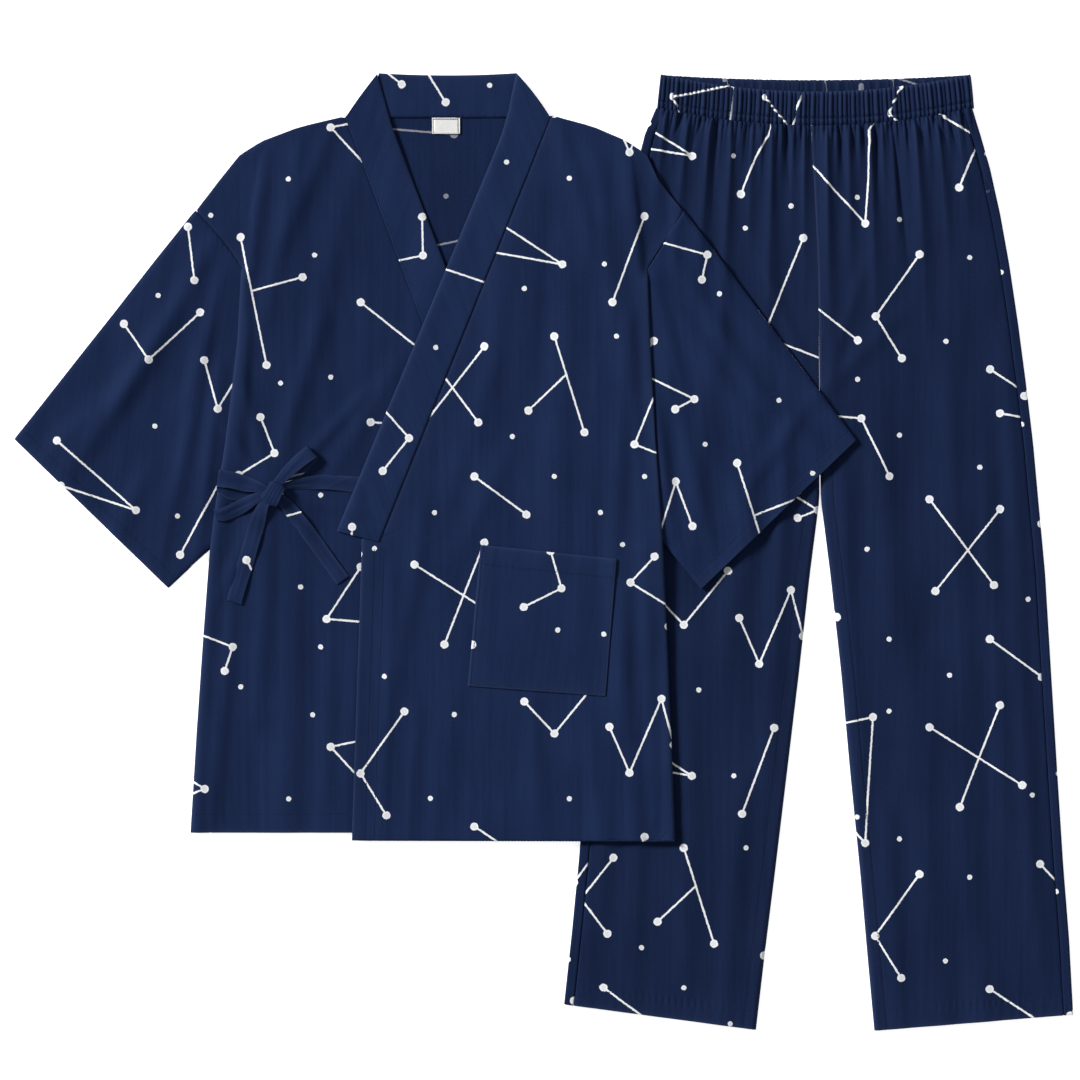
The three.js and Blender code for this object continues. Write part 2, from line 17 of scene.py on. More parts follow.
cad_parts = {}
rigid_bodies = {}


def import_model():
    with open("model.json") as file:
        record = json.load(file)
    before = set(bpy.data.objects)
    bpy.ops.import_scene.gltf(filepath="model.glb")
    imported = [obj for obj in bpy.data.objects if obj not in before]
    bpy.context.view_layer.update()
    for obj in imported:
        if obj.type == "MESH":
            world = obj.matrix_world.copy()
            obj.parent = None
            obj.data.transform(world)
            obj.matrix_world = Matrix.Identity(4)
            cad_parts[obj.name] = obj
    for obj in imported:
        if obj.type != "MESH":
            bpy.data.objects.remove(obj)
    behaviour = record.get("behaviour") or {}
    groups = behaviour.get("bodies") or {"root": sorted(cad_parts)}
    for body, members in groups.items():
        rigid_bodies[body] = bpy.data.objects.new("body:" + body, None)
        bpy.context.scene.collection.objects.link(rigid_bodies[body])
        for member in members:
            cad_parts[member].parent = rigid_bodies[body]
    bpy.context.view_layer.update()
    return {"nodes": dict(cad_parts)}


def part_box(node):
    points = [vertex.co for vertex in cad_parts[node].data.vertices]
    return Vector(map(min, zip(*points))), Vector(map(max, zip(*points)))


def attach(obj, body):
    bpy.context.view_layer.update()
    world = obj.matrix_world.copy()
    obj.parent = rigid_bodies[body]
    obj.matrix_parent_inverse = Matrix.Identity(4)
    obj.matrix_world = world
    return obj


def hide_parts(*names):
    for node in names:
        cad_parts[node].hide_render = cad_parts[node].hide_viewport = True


for leftover in list(bpy.data.objects):
    bpy.data.objects.remove(leftover)
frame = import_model()
MM = 0.001

# %% [markdown]
# ## Camera, floor and light
# A garment laid flat is seen from straight above. A long lens far away keeps both garments free of
# perspective. The main light is low and soft-edged: from overhead it would wash out a fold one or two
# millimetres high, and a hard one would draw every ripple. A pale sky fills the shade, and the table
# glows a little so that it stays white round the cloth, as on a light table.

# %% Camera
scene = bpy.context.scene
CAMERA_HEIGHT = 4.2
FRAME_WIDTH = 1.080


def put(name, data, place=(0, 0, 0)):
    """A new object in the scene that holds this data."""
    made = bpy.data.objects.new(name, data)
    made.location = place
    scene.collection.objects.link(made)
    return made


camera_data = bpy.data.cameras.new("overhead_camera")
camera_data.sensor_width = 36.0
camera_data.lens = CAMERA_HEIGHT * camera_data.sensor_width / FRAME_WIDTH
camera_data.clip_end = 50.0
scene.camera = put("overhead_camera", camera_data, (-0.0040, 0.0120, CAMERA_HEIGHT + 0.008))
print("lens in mm:", round(camera_data.lens, 1))

# %% Node helpers
def new_material(name):
    """An empty node material with its tree and its shader, ready to be wired."""
    material = bpy.data.materials.new(name)
    material.use_nodes = True
    return material, material.node_tree, material.node_tree.nodes["Principled BSDF"]


def wire(tree, node, inputs):
    """Sets a node's inputs, by name or number: each to a fixed value, a field or another node's output."""
    for key, value in inputs.items():
        value = getattr(value, "socket", value)
        if isinstance(value, bpy.types.NodeSocket):
            tree.links.new(value, node.inputs[key])
        else:
            node.inputs[key].default_value = value


def add_node(tree, kind, inputs={}, **settings):
    made = tree.nodes.new(kind)
    for key, value in settings.items():
        setattr(made, key, value)
    wire(tree, made, inputs)
    return made


def bumps(tree, height, strength, distance):
    """A surface normal that is tilted by this height. distance is in metres."""
    inputs = {"Height": height, "Strength": strength, "Distance": distance}
    return add_node(tree, "ShaderNodeBump", inputs).outputs["Normal"]

# %% Floor and sky
paper, tree, shader = new_material("white_table")
paper_grain = add_node(tree, "ShaderNodeTexNoise", {"Scale": 40.0}).outputs["Fac"]
wire(tree, shader, {
    "Base Color": (0.93, 0.93, 0.93, 1), "Roughness": 0.9, "Specular IOR Level": 0.1,
    "Normal": bumps(tree, paper_grain, 0.2, 0.0001),
    "Emission Color": (1.0, 1.0, 1.0, 1), "Emission Strength": 0.78,
})
floor_mesh = bpy.data.meshes.new("table")
floor_mesh.from_pydata([(-4, -4, 0), (4, -4, 0), (4, 4, 0), (-4, 4, 0)], [], [(0, 1, 2, 3)])
floor_mesh.materials.append(paper)
put("table", floor_mesh, (0, 0, -0.0002))

sky = bpy.data.worlds.new("studio_sky")
sky.use_nodes = True
wire(sky.node_tree, sky.node_tree.nodes["Background"], {"Color": (1.0, 1.0, 1.0, 1), "Strength": 0.22})
scene.world = sky
scene.view_settings.view_transform = "Standard"

# %% Lights
SOFT_SUNS = [
    # name, the way it shines, how wide it looks in degrees, strength
    ("window_light", (0.84, -0.46, -0.56), 14, 4.3),
    ("far_fill", (-0.70, 0.45, -0.60), 60, 0.35),
]
for light_name, way, wide, strength in SOFT_SUNS:
    light = bpy.data.lights.new(light_name, "SUN")
    light.angle = math.radians(wide)
    light.energy = strength
    lamp = put(light_name, light, -3 * Vector(way))
    lamp.rotation_euler = Vector(way).to_track_quat("-Z", "Y").to_euler()
print("lights:", [row[0] for row in SOFT_SUNS])

# %% [markdown]
# ## The print
# The cloth carries groups of stars joined by lines: pairs, hooks, forks, crosses, triangles and
# zigzags, with single stars between them. It could be painted as an image, but a chart is sharper
# and easier to alter: each group is a few points in millimetres and the pairs that a line joins.
# The chart repeats like a printed bolt, and each panel is cut from its own place on it. Every face
# of the cloth keeps where its corners lie from the nearest star and the two nearest lines, and the
# shader only has to ask how far away they are.

# %% The chart
REPEAT = np.array([560.0, 620.0])
STAR, SPECK, LINE = 4.0, 2.5, 0.92  # star, single star and half a line's width, in millimetres
STAR_GROUPS = [
    # where the group lies, its stars, and the stars that are joined
    ("tent", (30, 40), [(0, 0), (104, -22), (96, 104)], [(0, 1), (1, 2), (2, 0)]),
    ("cross", (190, 20), [(0, 8), (92, 66), (30, 88), (70, -14)], [(0, 1), (2, 3)]),
    ("pair", (350, 60), [(0, 0), (14, 52)], [(0, 1)]),
    ("hook", (430, 20), [(0, 0), (-24, 26), (34, 62), (14, 70)], [(0, 1), (1, 2), (2, 3)]),
    ("fork", (500, 150), [(0, 0), (26, 128), (62, 40)], [(0, 1)]),
    ("tick", (300, 165), [(0, 0), (30, 32), (74, -22)], [(0, 1), (1, 2)]),
    ("zigzag", (385, 190), [(0, 0), (20, 46), (52, -28), (64, 18)], [(0, 1), (1, 2), (2, 3)]),
    ("arrow", (180, 175), [(0, 0), (-44, 62), (-18, 104)], [(0, 1), (1, 2)]),
    ("long_pair", (60, 215), [(0, 0), (58, 46)], [(0, 1)]),
    ("wedge", (250, 290), [(0, 0), (88, 58), (10, 44)], [(0, 1), (1, 2)]),
    ("tall_pair", (420, 300), [(0, 0), (-32, 86)], [(0, 1)]),
    ("gate", (70, 335), [(0, 0), (52, 4), (80, 62)], [(0, 1), (1, 2)]),
    ("cross_two", (190, 420), [(0, 0), (64, 86), (6, 92), (70, 10)], [(0, 1), (2, 3)]),
    ("spur", (330, 420), [(0, 0), (30, 96), (-26, 74)], [(0, 1)]),
    ("crook", (450, 430), [(0, 0), (-40, 98), (42, 130), (34, 154)], [(0, 1), (1, 2), (2, 3)]),
    ("sail", (60, 480), [(0, 0), (38, 58), (-34, 52)], [(0, 1), (1, 2), (2, 0)]),
    ("low_pair", (250, 560), [(0, 0), (52, 38)], [(0, 1)]),
    ("kink", (520, 330), [(0, 0), (14, 36), (-22, 58)], [(0, 1), (1, 2)]),
]
# Lines that stop part way along another line, with no star where they meet.
BRANCHES = [((562, 190), (511, 204)), ((304, 494), (342, 458))]
SINGLE_STARS = [
    (12, 8), (150, 12), (160, 140), (14, 168), (118, 118), (292, 96), (398, 8), (330, 132), (470, 128),
    (548, 92), (230, 178), (118, 300), (30, 290), (206, 262), (345, 262), (380, 348), (470, 262), (540, 296),
    (160, 356), (20, 408), (240, 388), (300, 372), (392, 420), (534, 408), (128, 470), (20, 560), (150, 560),
    (210, 596), (330, 560), (376, 596), (438, 398), (500, 600), (560, 500), (90, 600), (288, 520), (420, 560),
]

# %% Chart tables for the shader
def chart_tables():
    """Stars as x, y, radius and lines as two ends, all in millimetres on the bolt."""
    stars, lines = [], []
    for _, (left, top), points, joins in STAR_GROUPS:
        places = [(left + x, top + y) for x, y in points]
        stars += [(x, y, STAR) for x, y in places]
        lines += [places[a] + places[b] for a, b in joins]
    lines += [a + b for a, b in BRANCHES]
    stars += [(x, y, SPECK) for x, y in SINGLE_STARS]
    return np.array(stars, float), np.array(lines, float)


CHART_STARS, CHART_LINES = chart_tables()
print("chart:", len(CHART_STARS), "stars,", len(CHART_LINES), "lines in", REPEAT, "mm")


def print_marks(corners):
    """For faces whose corners lie at these places on the bolt (faces, 4, 2): the offset of every corner
    from the nearest star with its radius, and its place along and across the two nearest lines with half
    their length."""
    middle = corners.mean(axis=1)
    spread = corners - middle[:, None, :]
    rows = np.arange(len(middle))

    def from_middle(places):
        return (middle[:, None, :] - places[None] + REPEAT / 2) % REPEAT - REPEAT / 2

    def mark(first, second, size):
        return np.dstack([first, second, np.broadcast_to(size[:, None], first.shape)])

    to_star = from_middle(CHART_STARS[:, :2])
    nearest = (np.linalg.norm(to_star, axis=2) - CHART_STARS[None, :, 2]).argmin(axis=1)
    offset = to_star[rows, nearest][:, None, :] + spread
    marks = [mark(offset[..., 0], offset[..., 1], CHART_STARS[nearest, 2])]
    start, end = CHART_LINES[:, :2], CHART_LINES[:, 2:]
    length = np.linalg.norm(end - start, axis=1)
    along_dir = (end - start) / length[:, None]
    across_dir = np.stack([-along_dir[:, 1], along_dir[:, 0]], axis=1)
    to_line = from_middle((start + end) / 2)
    along = (to_line * along_dir).sum(axis=2)
    across = (to_line * across_dir).sum(axis=2)
    gap = np.hypot(np.maximum(np.abs(along) - length / 2, 0), across)
    for pick in np.argsort(gap, axis=1)[:, :2].T:
        places = [measure[rows, pick][:, None] + (spread * way[pick][:, None, :]).sum(axis=2)
                  for measure, way in ((along, along_dir), (across, across_dir))]
        marks.append(mark(*places, length[pick] / 2))
    return dict(zip(("star", "line_one", "line_two"), marks))

# %% [markdown]
# ## The cotton
# Plain-weave cotton is matt. What makes it read as cloth is small: warp streaks where the dye took
# unevenly, thick and thin threads, a fine weave that catches the light, and a little fuzz. The print
# sits in the cloth, so it shares the weave and only shows faintly on the wrong side. The wobble in
# its edges is a noise that moves the marks by a fraction of a millimetre, as a screen print does.

# %% Fields
class Field:
    """A number that varies over the cloth. A sum, difference, product or ratio of fields is a Math node."""
    def __init__(self, tree, socket):
        self.tree = tree
        self.socket = socket


def maths(operation, a, b=0.0):
    """A Math node on two fields, or on a field and a number."""
    tree = (a if isinstance(a, Field) else b).tree
    return Field(tree, add_node(tree, "ShaderNodeMath", {0: a, 1: b}, operation=operation).outputs[0])


for sign, operation in (("add", "ADD"), ("sub", "SUBTRACT"), ("mul", "MULTIPLY"), ("truediv", "DIVIDE")):
    setattr(Field, f"__{sign}__", lambda a, b, operation=operation: maths(operation, a, b))
    setattr(Field, f"__r{sign}__", lambda b, a, operation=operation: maths(operation, a, b))
Field.__abs__ = lambda field: maths("ABSOLUTE", field)


def hypotenuse(a, b):
    return maths("SQRT", maths("POWER", a, 2.0) + maths("POWER", b, 2.0))


def soft_step(field, low, high):
    """1 below low, 0 above high, smooth between them."""
    inputs = {"Value": field, "From Min": low, "From Max": high, "To Min": 1.0, "To Max": 0.0}
    step = add_node(field.tree, "ShaderNodeMapRange", inputs, interpolation_type="SMOOTHSTEP")
    return Field(field.tree, step.outputs["Result"])


def vector_maths(tree, operation, a, b):
    return add_node(tree, "ShaderNodeVectorMath", {0: a, 1: b}, operation=operation).outputs[0]


def parts_of(tree, vector):
    """The three numbers of a vector, as fields."""
    return [Field(tree, part) for part in add_node(tree, "ShaderNodeSeparateXYZ", {0: vector}).outputs]


def attribute(tree, name, output="Vector"):
    return add_node(tree, "ShaderNodeAttribute", attribute_name=name).outputs[output]


def grain_place(tree):
    """Where a point of cloth lies on the bolt, in metres."""
    return add_node(tree, "ShaderNodeUVMap", uv_map="grain").outputs[0]


def mixed(tree, share, first, second):
    """From the first colour to the second, by this share."""
    return add_node(tree, "ShaderNodeMix", {0: share, 6: first, 7: second}, data_type="RGBA").outputs[2]


def noise(tree, place, scale, detail, roughness=0.5, output="Fac"):
    inputs = {"Vector": place, "Scale": scale, "Detail": detail, "Roughness": roughness}
    return add_node(tree, "ShaderNodeTexNoise", inputs).outputs[output]


def stretched_noise(tree, place, across, along, detail, roughness=0.55):
    """Noise that is drawn out along the warp: across and along are its fineness per millimetre."""
    spread = vector_maths(tree, "MULTIPLY", place, (across, along, 1.0))
    return Field(tree, noise(tree, spread, 1.0, detail, roughness))

# %% The cloth material
NAVY_DEEP = (0.0056, 0.0142, 0.0500, 1)
NAVY_FULL = (0.0116, 0.0246, 0.0800, 1)
# the paler navy of the painted highlight on folded edges and on the tops of gathers
NAVY_HIGHLIGHT = (0.028, 0.045, 0.112, 1)
INK = (0.90, 0.91, 0.93, 1)
INK_THIN = (0.78, 0.80, 0.84, 1)
WARP_PITCH, WEFT_PITCH = 0.95, 1.1  # millimetres between the ribs that the weave shows


def print_mask(tree, wobble):
    """How much ink lies on the cloth, and how close to the middle of a star it is."""
    star = attribute(tree, "star")
    x, y, _ = parts_of(tree, vector_maths(tree, "ADD", star, wobble))
    away = hypotenuse(abs(x), abs(y))
    radius = parts_of(tree, star)[2]
    ink = soft_step(away - radius, -0.35, 0.35)
    heart = soft_step(away / radius, 0.45, 0.8)
    shift = parts_of(tree, wobble)[0]
    for name in ("line_one", "line_two"):
        along, across, half = parts_of(tree, attribute(tree, name))
        past_end = maths("MAXIMUM", abs(along) - half, 0.0)
        away = hypotenuse(past_end, abs(across + shift))
        ink = maths("MAXIMUM", ink, soft_step(away, LINE - 0.3, LINE + 0.3))
    return ink, heart


def cotton(name, painted_brightness=1.0):
    """Printed navy cotton. The second argument scales its whole colour, up for painted light on a piece or down for
    painted shade.
    """
    material, tree, shader = new_material(name)
    place = vector_maths(tree, "MULTIPLY", grain_place(tree), (1000.0, 1000.0, 1.0))
    streaks = stretched_noise(tree, place, 0.22, 0.006, 4.0)
    slubs = stretched_noise(tree, place, 1.5, 0.035, 2.0)
    clouds = stretched_noise(tree, place, 0.018, 0.010, 3.0)
    flecks = stretched_noise(tree, place, 0.75, 0.5, 2.0, 0.7)
    crumple = stretched_noise(tree, place, 0.10, 0.05, 4.0, 0.6)
    wrong, highlit = (Field(tree, attribute(tree, key, "Fac")) for key in ("wrong_side", "painted_highlight"))
    tone = streaks * 0.45 + clouds * 0.45 + slubs * 0.25 + (flecks - 0.5) * 0.55 - wrong * 0.13
    ramp = add_node(tree, "ShaderNodeValToRGB", {"Fac": tone})
    for stop, position, colour in zip(ramp.color_ramp.elements, (0.36, 0.80), (NAVY_DEEP, NAVY_FULL)):
        stop.position = position
        stop.color = [c * painted_brightness for c in colour[:3]] + [1]
    # painted highlight: folded edges and the tops of gathers are mixed towards the paler navy
    painted_light = mixed(tree, highlit, ramp.outputs["Color"], NAVY_HIGHLIGHT)

    jitter = vector_maths(tree, "SUBTRACT", noise(tree, place, 0.30, 2.0, output="Color"), (0.5, 0.5, 0.5))
    ink, heart = print_mask(tree, vector_maths(tree, "MULTIPLY", jitter, (1.3, 1.3, 0.0)))
    shown = ink * (1.0 - wrong * 0.72) * (0.90 + slubs * 0.14)

    x, y, _ = parts_of(tree, place)
    warp, weft = (maths("SINE", way * (2 * math.pi / pitch)) for way, pitch in ((x, WARP_PITCH), (y, WEFT_PITCH)))
    relief = warp * weft * 0.5 + slubs * 1.6 + crumple * 5.0
    wire(tree, shader, {
        "Base Color": mixed(tree, shown, painted_light, mixed(tree, heart, INK, INK_THIN)),
        "Normal": bumps(tree, relief, 0.45, 0.00006), "Roughness": 0.82, "Specular IOR Level": 0.07,
        "Sheen Weight": 0.015, "Sheen Roughness": 0.45, "Sheen Tint": (0.55, 0.65, 1.0, 1),
    })
    return material


PRINTED_COTTON = cotton("printed_cotton")
# copies of the same cotton: the collar band's is painted lighter, as painted light, and the trousers' painted
# darker, as painted shade
BAND_COTTON_PAINTED_LIGHTER = cotton("band_cotton_painted_lighter", 1.10)
LEG_COTTON_PAINTED_DARKER = cotton("trouser_cotton_painted_darker", 0.82)
print("cloth materials:", PRINTED_COTTON.name, BAND_COTTON_PAINTED_LIGHTER.name, LEG_COTTON_PAINTED_DARKER.name)

# %% Thread and label
def thread_material(name, colour):
    """Spun thread: a fine twist along it, and a dull surface."""
    material, tree, shader = new_material(name)
    place = add_node(tree, "ShaderNodeTexCoord").outputs["Object"]
    fibre = noise(tree, place, 1500.0, 2.0)
    dark = [c * 0.6 for c in colour[:3]] + [1]
    wire(tree, shader, {"Base Color": mixed(tree, fibre, dark, colour), "Roughness": 0.7,
                        "Normal": bumps(tree, fibre, 0.3, 0.00005), "Specular IOR Level": 0.2})
    return material


# navy thread, its colour painted darker than the cloth to stand in for the shadow in the stitch grooves
NAVY_THREAD_PAINTED_DARK = thread_material("navy_thread_painted_dark", (0.010, 0.018, 0.055, 1))
PALE_THREAD = thread_material("pale_blue_thread", (0.10, 0.145, 0.27, 1))
WHITE_THREAD = thread_material("white_thread", (0.62, 0.62, 0.60, 1))


def label_material():
    """Woven satin tape: white, with fine ribs across it."""
    material, tree, shader = new_material("label_tape")
    grain = grain_place(tree)
    ribs = maths("SINE", parts_of(tree, grain)[1] * (2 * math.pi / 0.0007))
    white = mixed(tree, noise(tree, grain, 260.0, 3.0), (0.74, 0.74, 0.72, 1), (0.90, 0.90, 0.89, 1))
    wire(tree, shader, {"Base Color": white, "Normal": bumps(tree, ribs, 0.3, 0.00004), "Roughness": 0.5,
                        "Sheen Weight": 0.1})
    return material


LABEL_TAPE = label_material()

# %% [markdown]
# ## Laying cloth on a solid
# Each solid is a plain, faceted stand-in for one cut piece. A cloth grid is laid over it: the solid's
# width is measured on many lines across the piece, and its two ends on lines along it, which gives a
# grid that follows every edge. A ray dropped on each point finds how high the piece lies there. The
# grid is finer at its edges, where cloth turns over.

# %% Measuring a solid
def skin_tree(places, faces):
    """A tree that finds where a ray meets these faces."""
    return BVHTree.FromPolygons([Vector(place) for place in places], [tuple(face.vertices) for face in faces])


@lru_cache(None)
def solid(node):
    """A solid's points and edges, and a tree for dropping rays on it."""
    mesh, place = frame["nodes"][node].data, frame["nodes"][node].matrix_world
    points = np.array([tuple(place @ v.co) for v in mesh.vertices])
    edges = np.array([tuple(e.vertices) for e in mesh.edges])
    return points, edges, skin_tree(points, mesh.polygons)


def reach(node, direction, station):
    """How far the solid reaches, low and high, on the line across this direction at this station."""
    points, edges, _ = solid(node)
    along = points[:, :2] @ direction
    across = points[:, :2] @ np.array([-direction[1], direction[0]])
    a, b = along[edges[:, 0]], along[edges[:, 1]]
    cut = ((a - station) * (b - station) <= 0) & (np.abs(a - b) > 1e-9)
    share = (station - a[cut]) / (b[cut] - a[cut])
    hits = across[edges[cut, 0]] * (1 - share) + across[edges[cut, 1]] * share
    return (hits.min(), hits.max()) if len(hits) else (np.nan, np.nan)


def drop_ray(tree, x, y, start=0.1, near=0.02):
    """Where a ray from this height meets a skin: downwards, or upwards where it starts below the table. A place
    just off the skin takes the skin's point that is nearest to it at the height near."""
    hit = tree.ray_cast(Vector((x, y, start)), Vector((0, 0, -math.copysign(1, start))))[0]
    return hit or tree.find_nearest(Vector((x, y, near)))[0]


def surface_height(node, xy, start=0.2):
    """The solid's top at each place, or its underside where start is negative."""
    heights = [drop_ray(solid(node)[2], x, y, start, start / 10).z for x, y in xy.reshape(-1, 2)]
    return np.array(heights).reshape(xy.shape[:-1])


def evened(field, passes=4):
    """A height field with the solid's facets smoothed away."""
    for _ in range(passes):
        padded = np.pad(field, 1, mode="edge")
        beside = padded[:-2, 1:-1] + padded[2:, 1:-1] + padded[1:-1, :-2] + padded[1:-1, 2:]
        field = (beside + 4 * field) / 8
    return field


def distance_along(places, axis=0):
    """How far each point of a path, or of a grid along one of its axes, is from the first, in millimetres."""
    steps = np.linalg.norm(np.diff(places, axis=axis), axis=-1)
    return np.concatenate([np.zeros_like(steps.take([0], axis)), np.cumsum(steps, axis)], axis) / MM


def fade(value, start, end):
    """0 at start, 1 at end, straight between them."""
    return np.clip((value - start) / (end - start), 0, 1)


# %% A grid that follows a piece's edges
def edge_spaced(count, length, turn=0.0014):
    """count+1 shares of a length, with two extra close to each end, where the cloth turns over."""
    close = np.array([0.35, 1.0]) * turn / length
    return np.sort(np.concatenate([np.linspace(0, 1, count + 1), close, 1 - close]))


def spaced(length, stretches, turn=1.4):
    """Shares of a length in millimetres. Each stretch is how far it goes and the step that it is cut in."""
    stops, at = [0.0, 0.35 * turn, length - 0.35 * turn, length], 0.0
    for upto, step in stretches:
        stops += list(np.linspace(at, upto, max(2, int((upto - at) / step) + 1)))
        at = upto
    stops = np.unique(np.round(stops, 3))
    return stops[np.concatenate([[True], np.diff(stops) > 0.2])] / length


def lay_grid(node, rows, columns, down=(0, -1), head=0.0, foot=0.0, margin=0.0):
    """Places (rows, columns, 2) over a solid, in metres. down is the way the piece runs. head and foot are
    how far its slanting ends reach into it, where its side edges are carried on straight."""
    down = np.array(down, float) / np.hypot(*down)
    across = np.array([-down[1], down[0]])
    along = solid(node)[0][:, :2] @ down
    low, high = along.min() + head + 1e-5, along.max() - foot - 1e-5
    stations = np.unique(np.concatenate([[low, high], np.round(along, 5), np.linspace(low, high, 24)]))
    stations = stations[(stations >= low) & (stations <= high)]
    sides = np.array([reach(node, down, s) for s in stations])

    def side(column, s):
        value = np.interp(s, stations, sides[:, column])
        near = np.searchsorted(stations, low + 0.012), np.searchsorted(stations, high - 0.012) - 1
        slope_low = (sides[near[0], column] - sides[0, column]) / (stations[near[0]] - stations[0])
        slope_high = (sides[-1, column] - sides[near[1], column]) / (stations[-1] - stations[near[1]])
        return value + np.minimum(s - low, 0) * slope_low + np.maximum(s - high, 0) * slope_high

    shares = np.linspace(0.10, 0.90, 17)
    ends = []
    for pick, (limit, level, slant) in enumerate(((low, along.min(), head), (high, along.max(), foot))):
        if slant == 0:
            ends.append(np.full(len(shares), level))
            continue
        lines = side(0, (limit + level) / 2) * (1 - shares) + side(1, (limit + level) / 2) * shares
        # lines along the piece: the direction across is turned so that reach() measures along it
        ends.append(np.array([sorted(-np.array(reach(node, across, line)))[pick] for line in lines]))
    # an end is a straight or gently curved cut: a corner is where that curve meets the side
    top, end = (np.polyval(np.polyfit(shares, cut, 2), columns) for cut in ends)
    length, width = (np.clip(part, margin, 1 - margin) for part in (rows[:, None], columns[None, :]))
    station = top[None, :] * (1 - length) + end[None, :] * length
    beside = side(0, station) * (1 - width) + side(1, station) * width
    return station[..., None] * down + beside[..., None] * across


def lay_on(node, rows, columns, smooth=4, sink=0.5, **how):
    """The piece's own surface on this grid (rows, columns, 3), in metres, sunk by some millimetres to the
    middle of the cloth."""
    top = surface_height(node, lay_grid(node, rows, columns, margin=0.004, **how))
    return np.dstack([lay_grid(node, rows, columns, **how), evened(top, smooth) - sink * MM])

# %% [markdown]
# ## A thin closed shell
# Real cloth has two faces and an edge. Blender's Solidify modifier would give that, but the print
# and the wrong side have to be told apart, so the shell is made directly: the grid moved half a
# thickness each way along its own normals, and a strip round the rim. Every face corner also gets
# its place on the bolt, for the weave and the print.

# %% Shell and its marks
CLOTH = 0.0009
MADE = {}   # every piece by its name
GRIDS = {}  # every piece's grid, normals and thickness, for sewing along its edges


def grid_normals(mid, wrapped=False):
    down_step = np.gradient(mid, axis=0)
    if wrapped:
        over_step = (np.roll(mid, -1, axis=1) - np.roll(mid, 1, axis=1)) / 2
    else:
        over_step = np.gradient(mid, axis=1)
    normals = np.cross(down_step, over_step)
    return normals / np.maximum(np.linalg.norm(normals, axis=2, keepdims=True), 1e-12)


def quads(*corners):
    return np.stack(corners, axis=-1).reshape(-1, 4)


def shell_faces(rows, columns, wrapped):
    """Corner indices of the upper skin, the lower skin and the rim of a shell on a grid."""
    i, j = np.meshgrid(np.arange(rows - 1), np.arange(columns if wrapped else columns - 1), indexing="ij")
    after = (j + 1) % columns
    a, b, c, d = i * columns + j, (i + 1) * columns + j, (i + 1) * columns + after, i * columns + after
    low, last = rows * columns, (rows - 1) * columns
    j, after, i = j[0], after[0], i[:, 0] * columns
    rim = [quads(j, after, after + low, j + low), quads(last + j, last + j + low, last + after + low, last + after)]
    if not wrapped:
        rim.append(quads(i, i + low, i + columns + low, i + columns))
        i = i + columns - 1
        rim.append(quads(i, i + columns, i + columns + low, i + low))
    return quads(a, b, c, d), quads(a, d, c, b) + low, np.concatenate(rim)


def edge_distances(mid):
    """Millimetres from every grid point to the four edges of its piece."""
    across, along = distance_along(mid, 1), distance_along(mid, 0)
    return {"left": across, "right": across[:, -1:] - across, "head": along, "foot": along[-1:] - along}


def on_bolt(places, turn, corner):
    """Where cloth that lies at these places was cut: turned by some degrees, and its first corner put at corner."""
    x, y = np.moveaxis((places[..., :2] - places[0, 0, :2]) / MM, -1, 0)
    cos, sin = math.cos(math.radians(turn)), math.sin(math.radians(turn))
    return np.dstack([x * cos - y * sin, -x * sin - y * cos]) + np.array(corner, float)


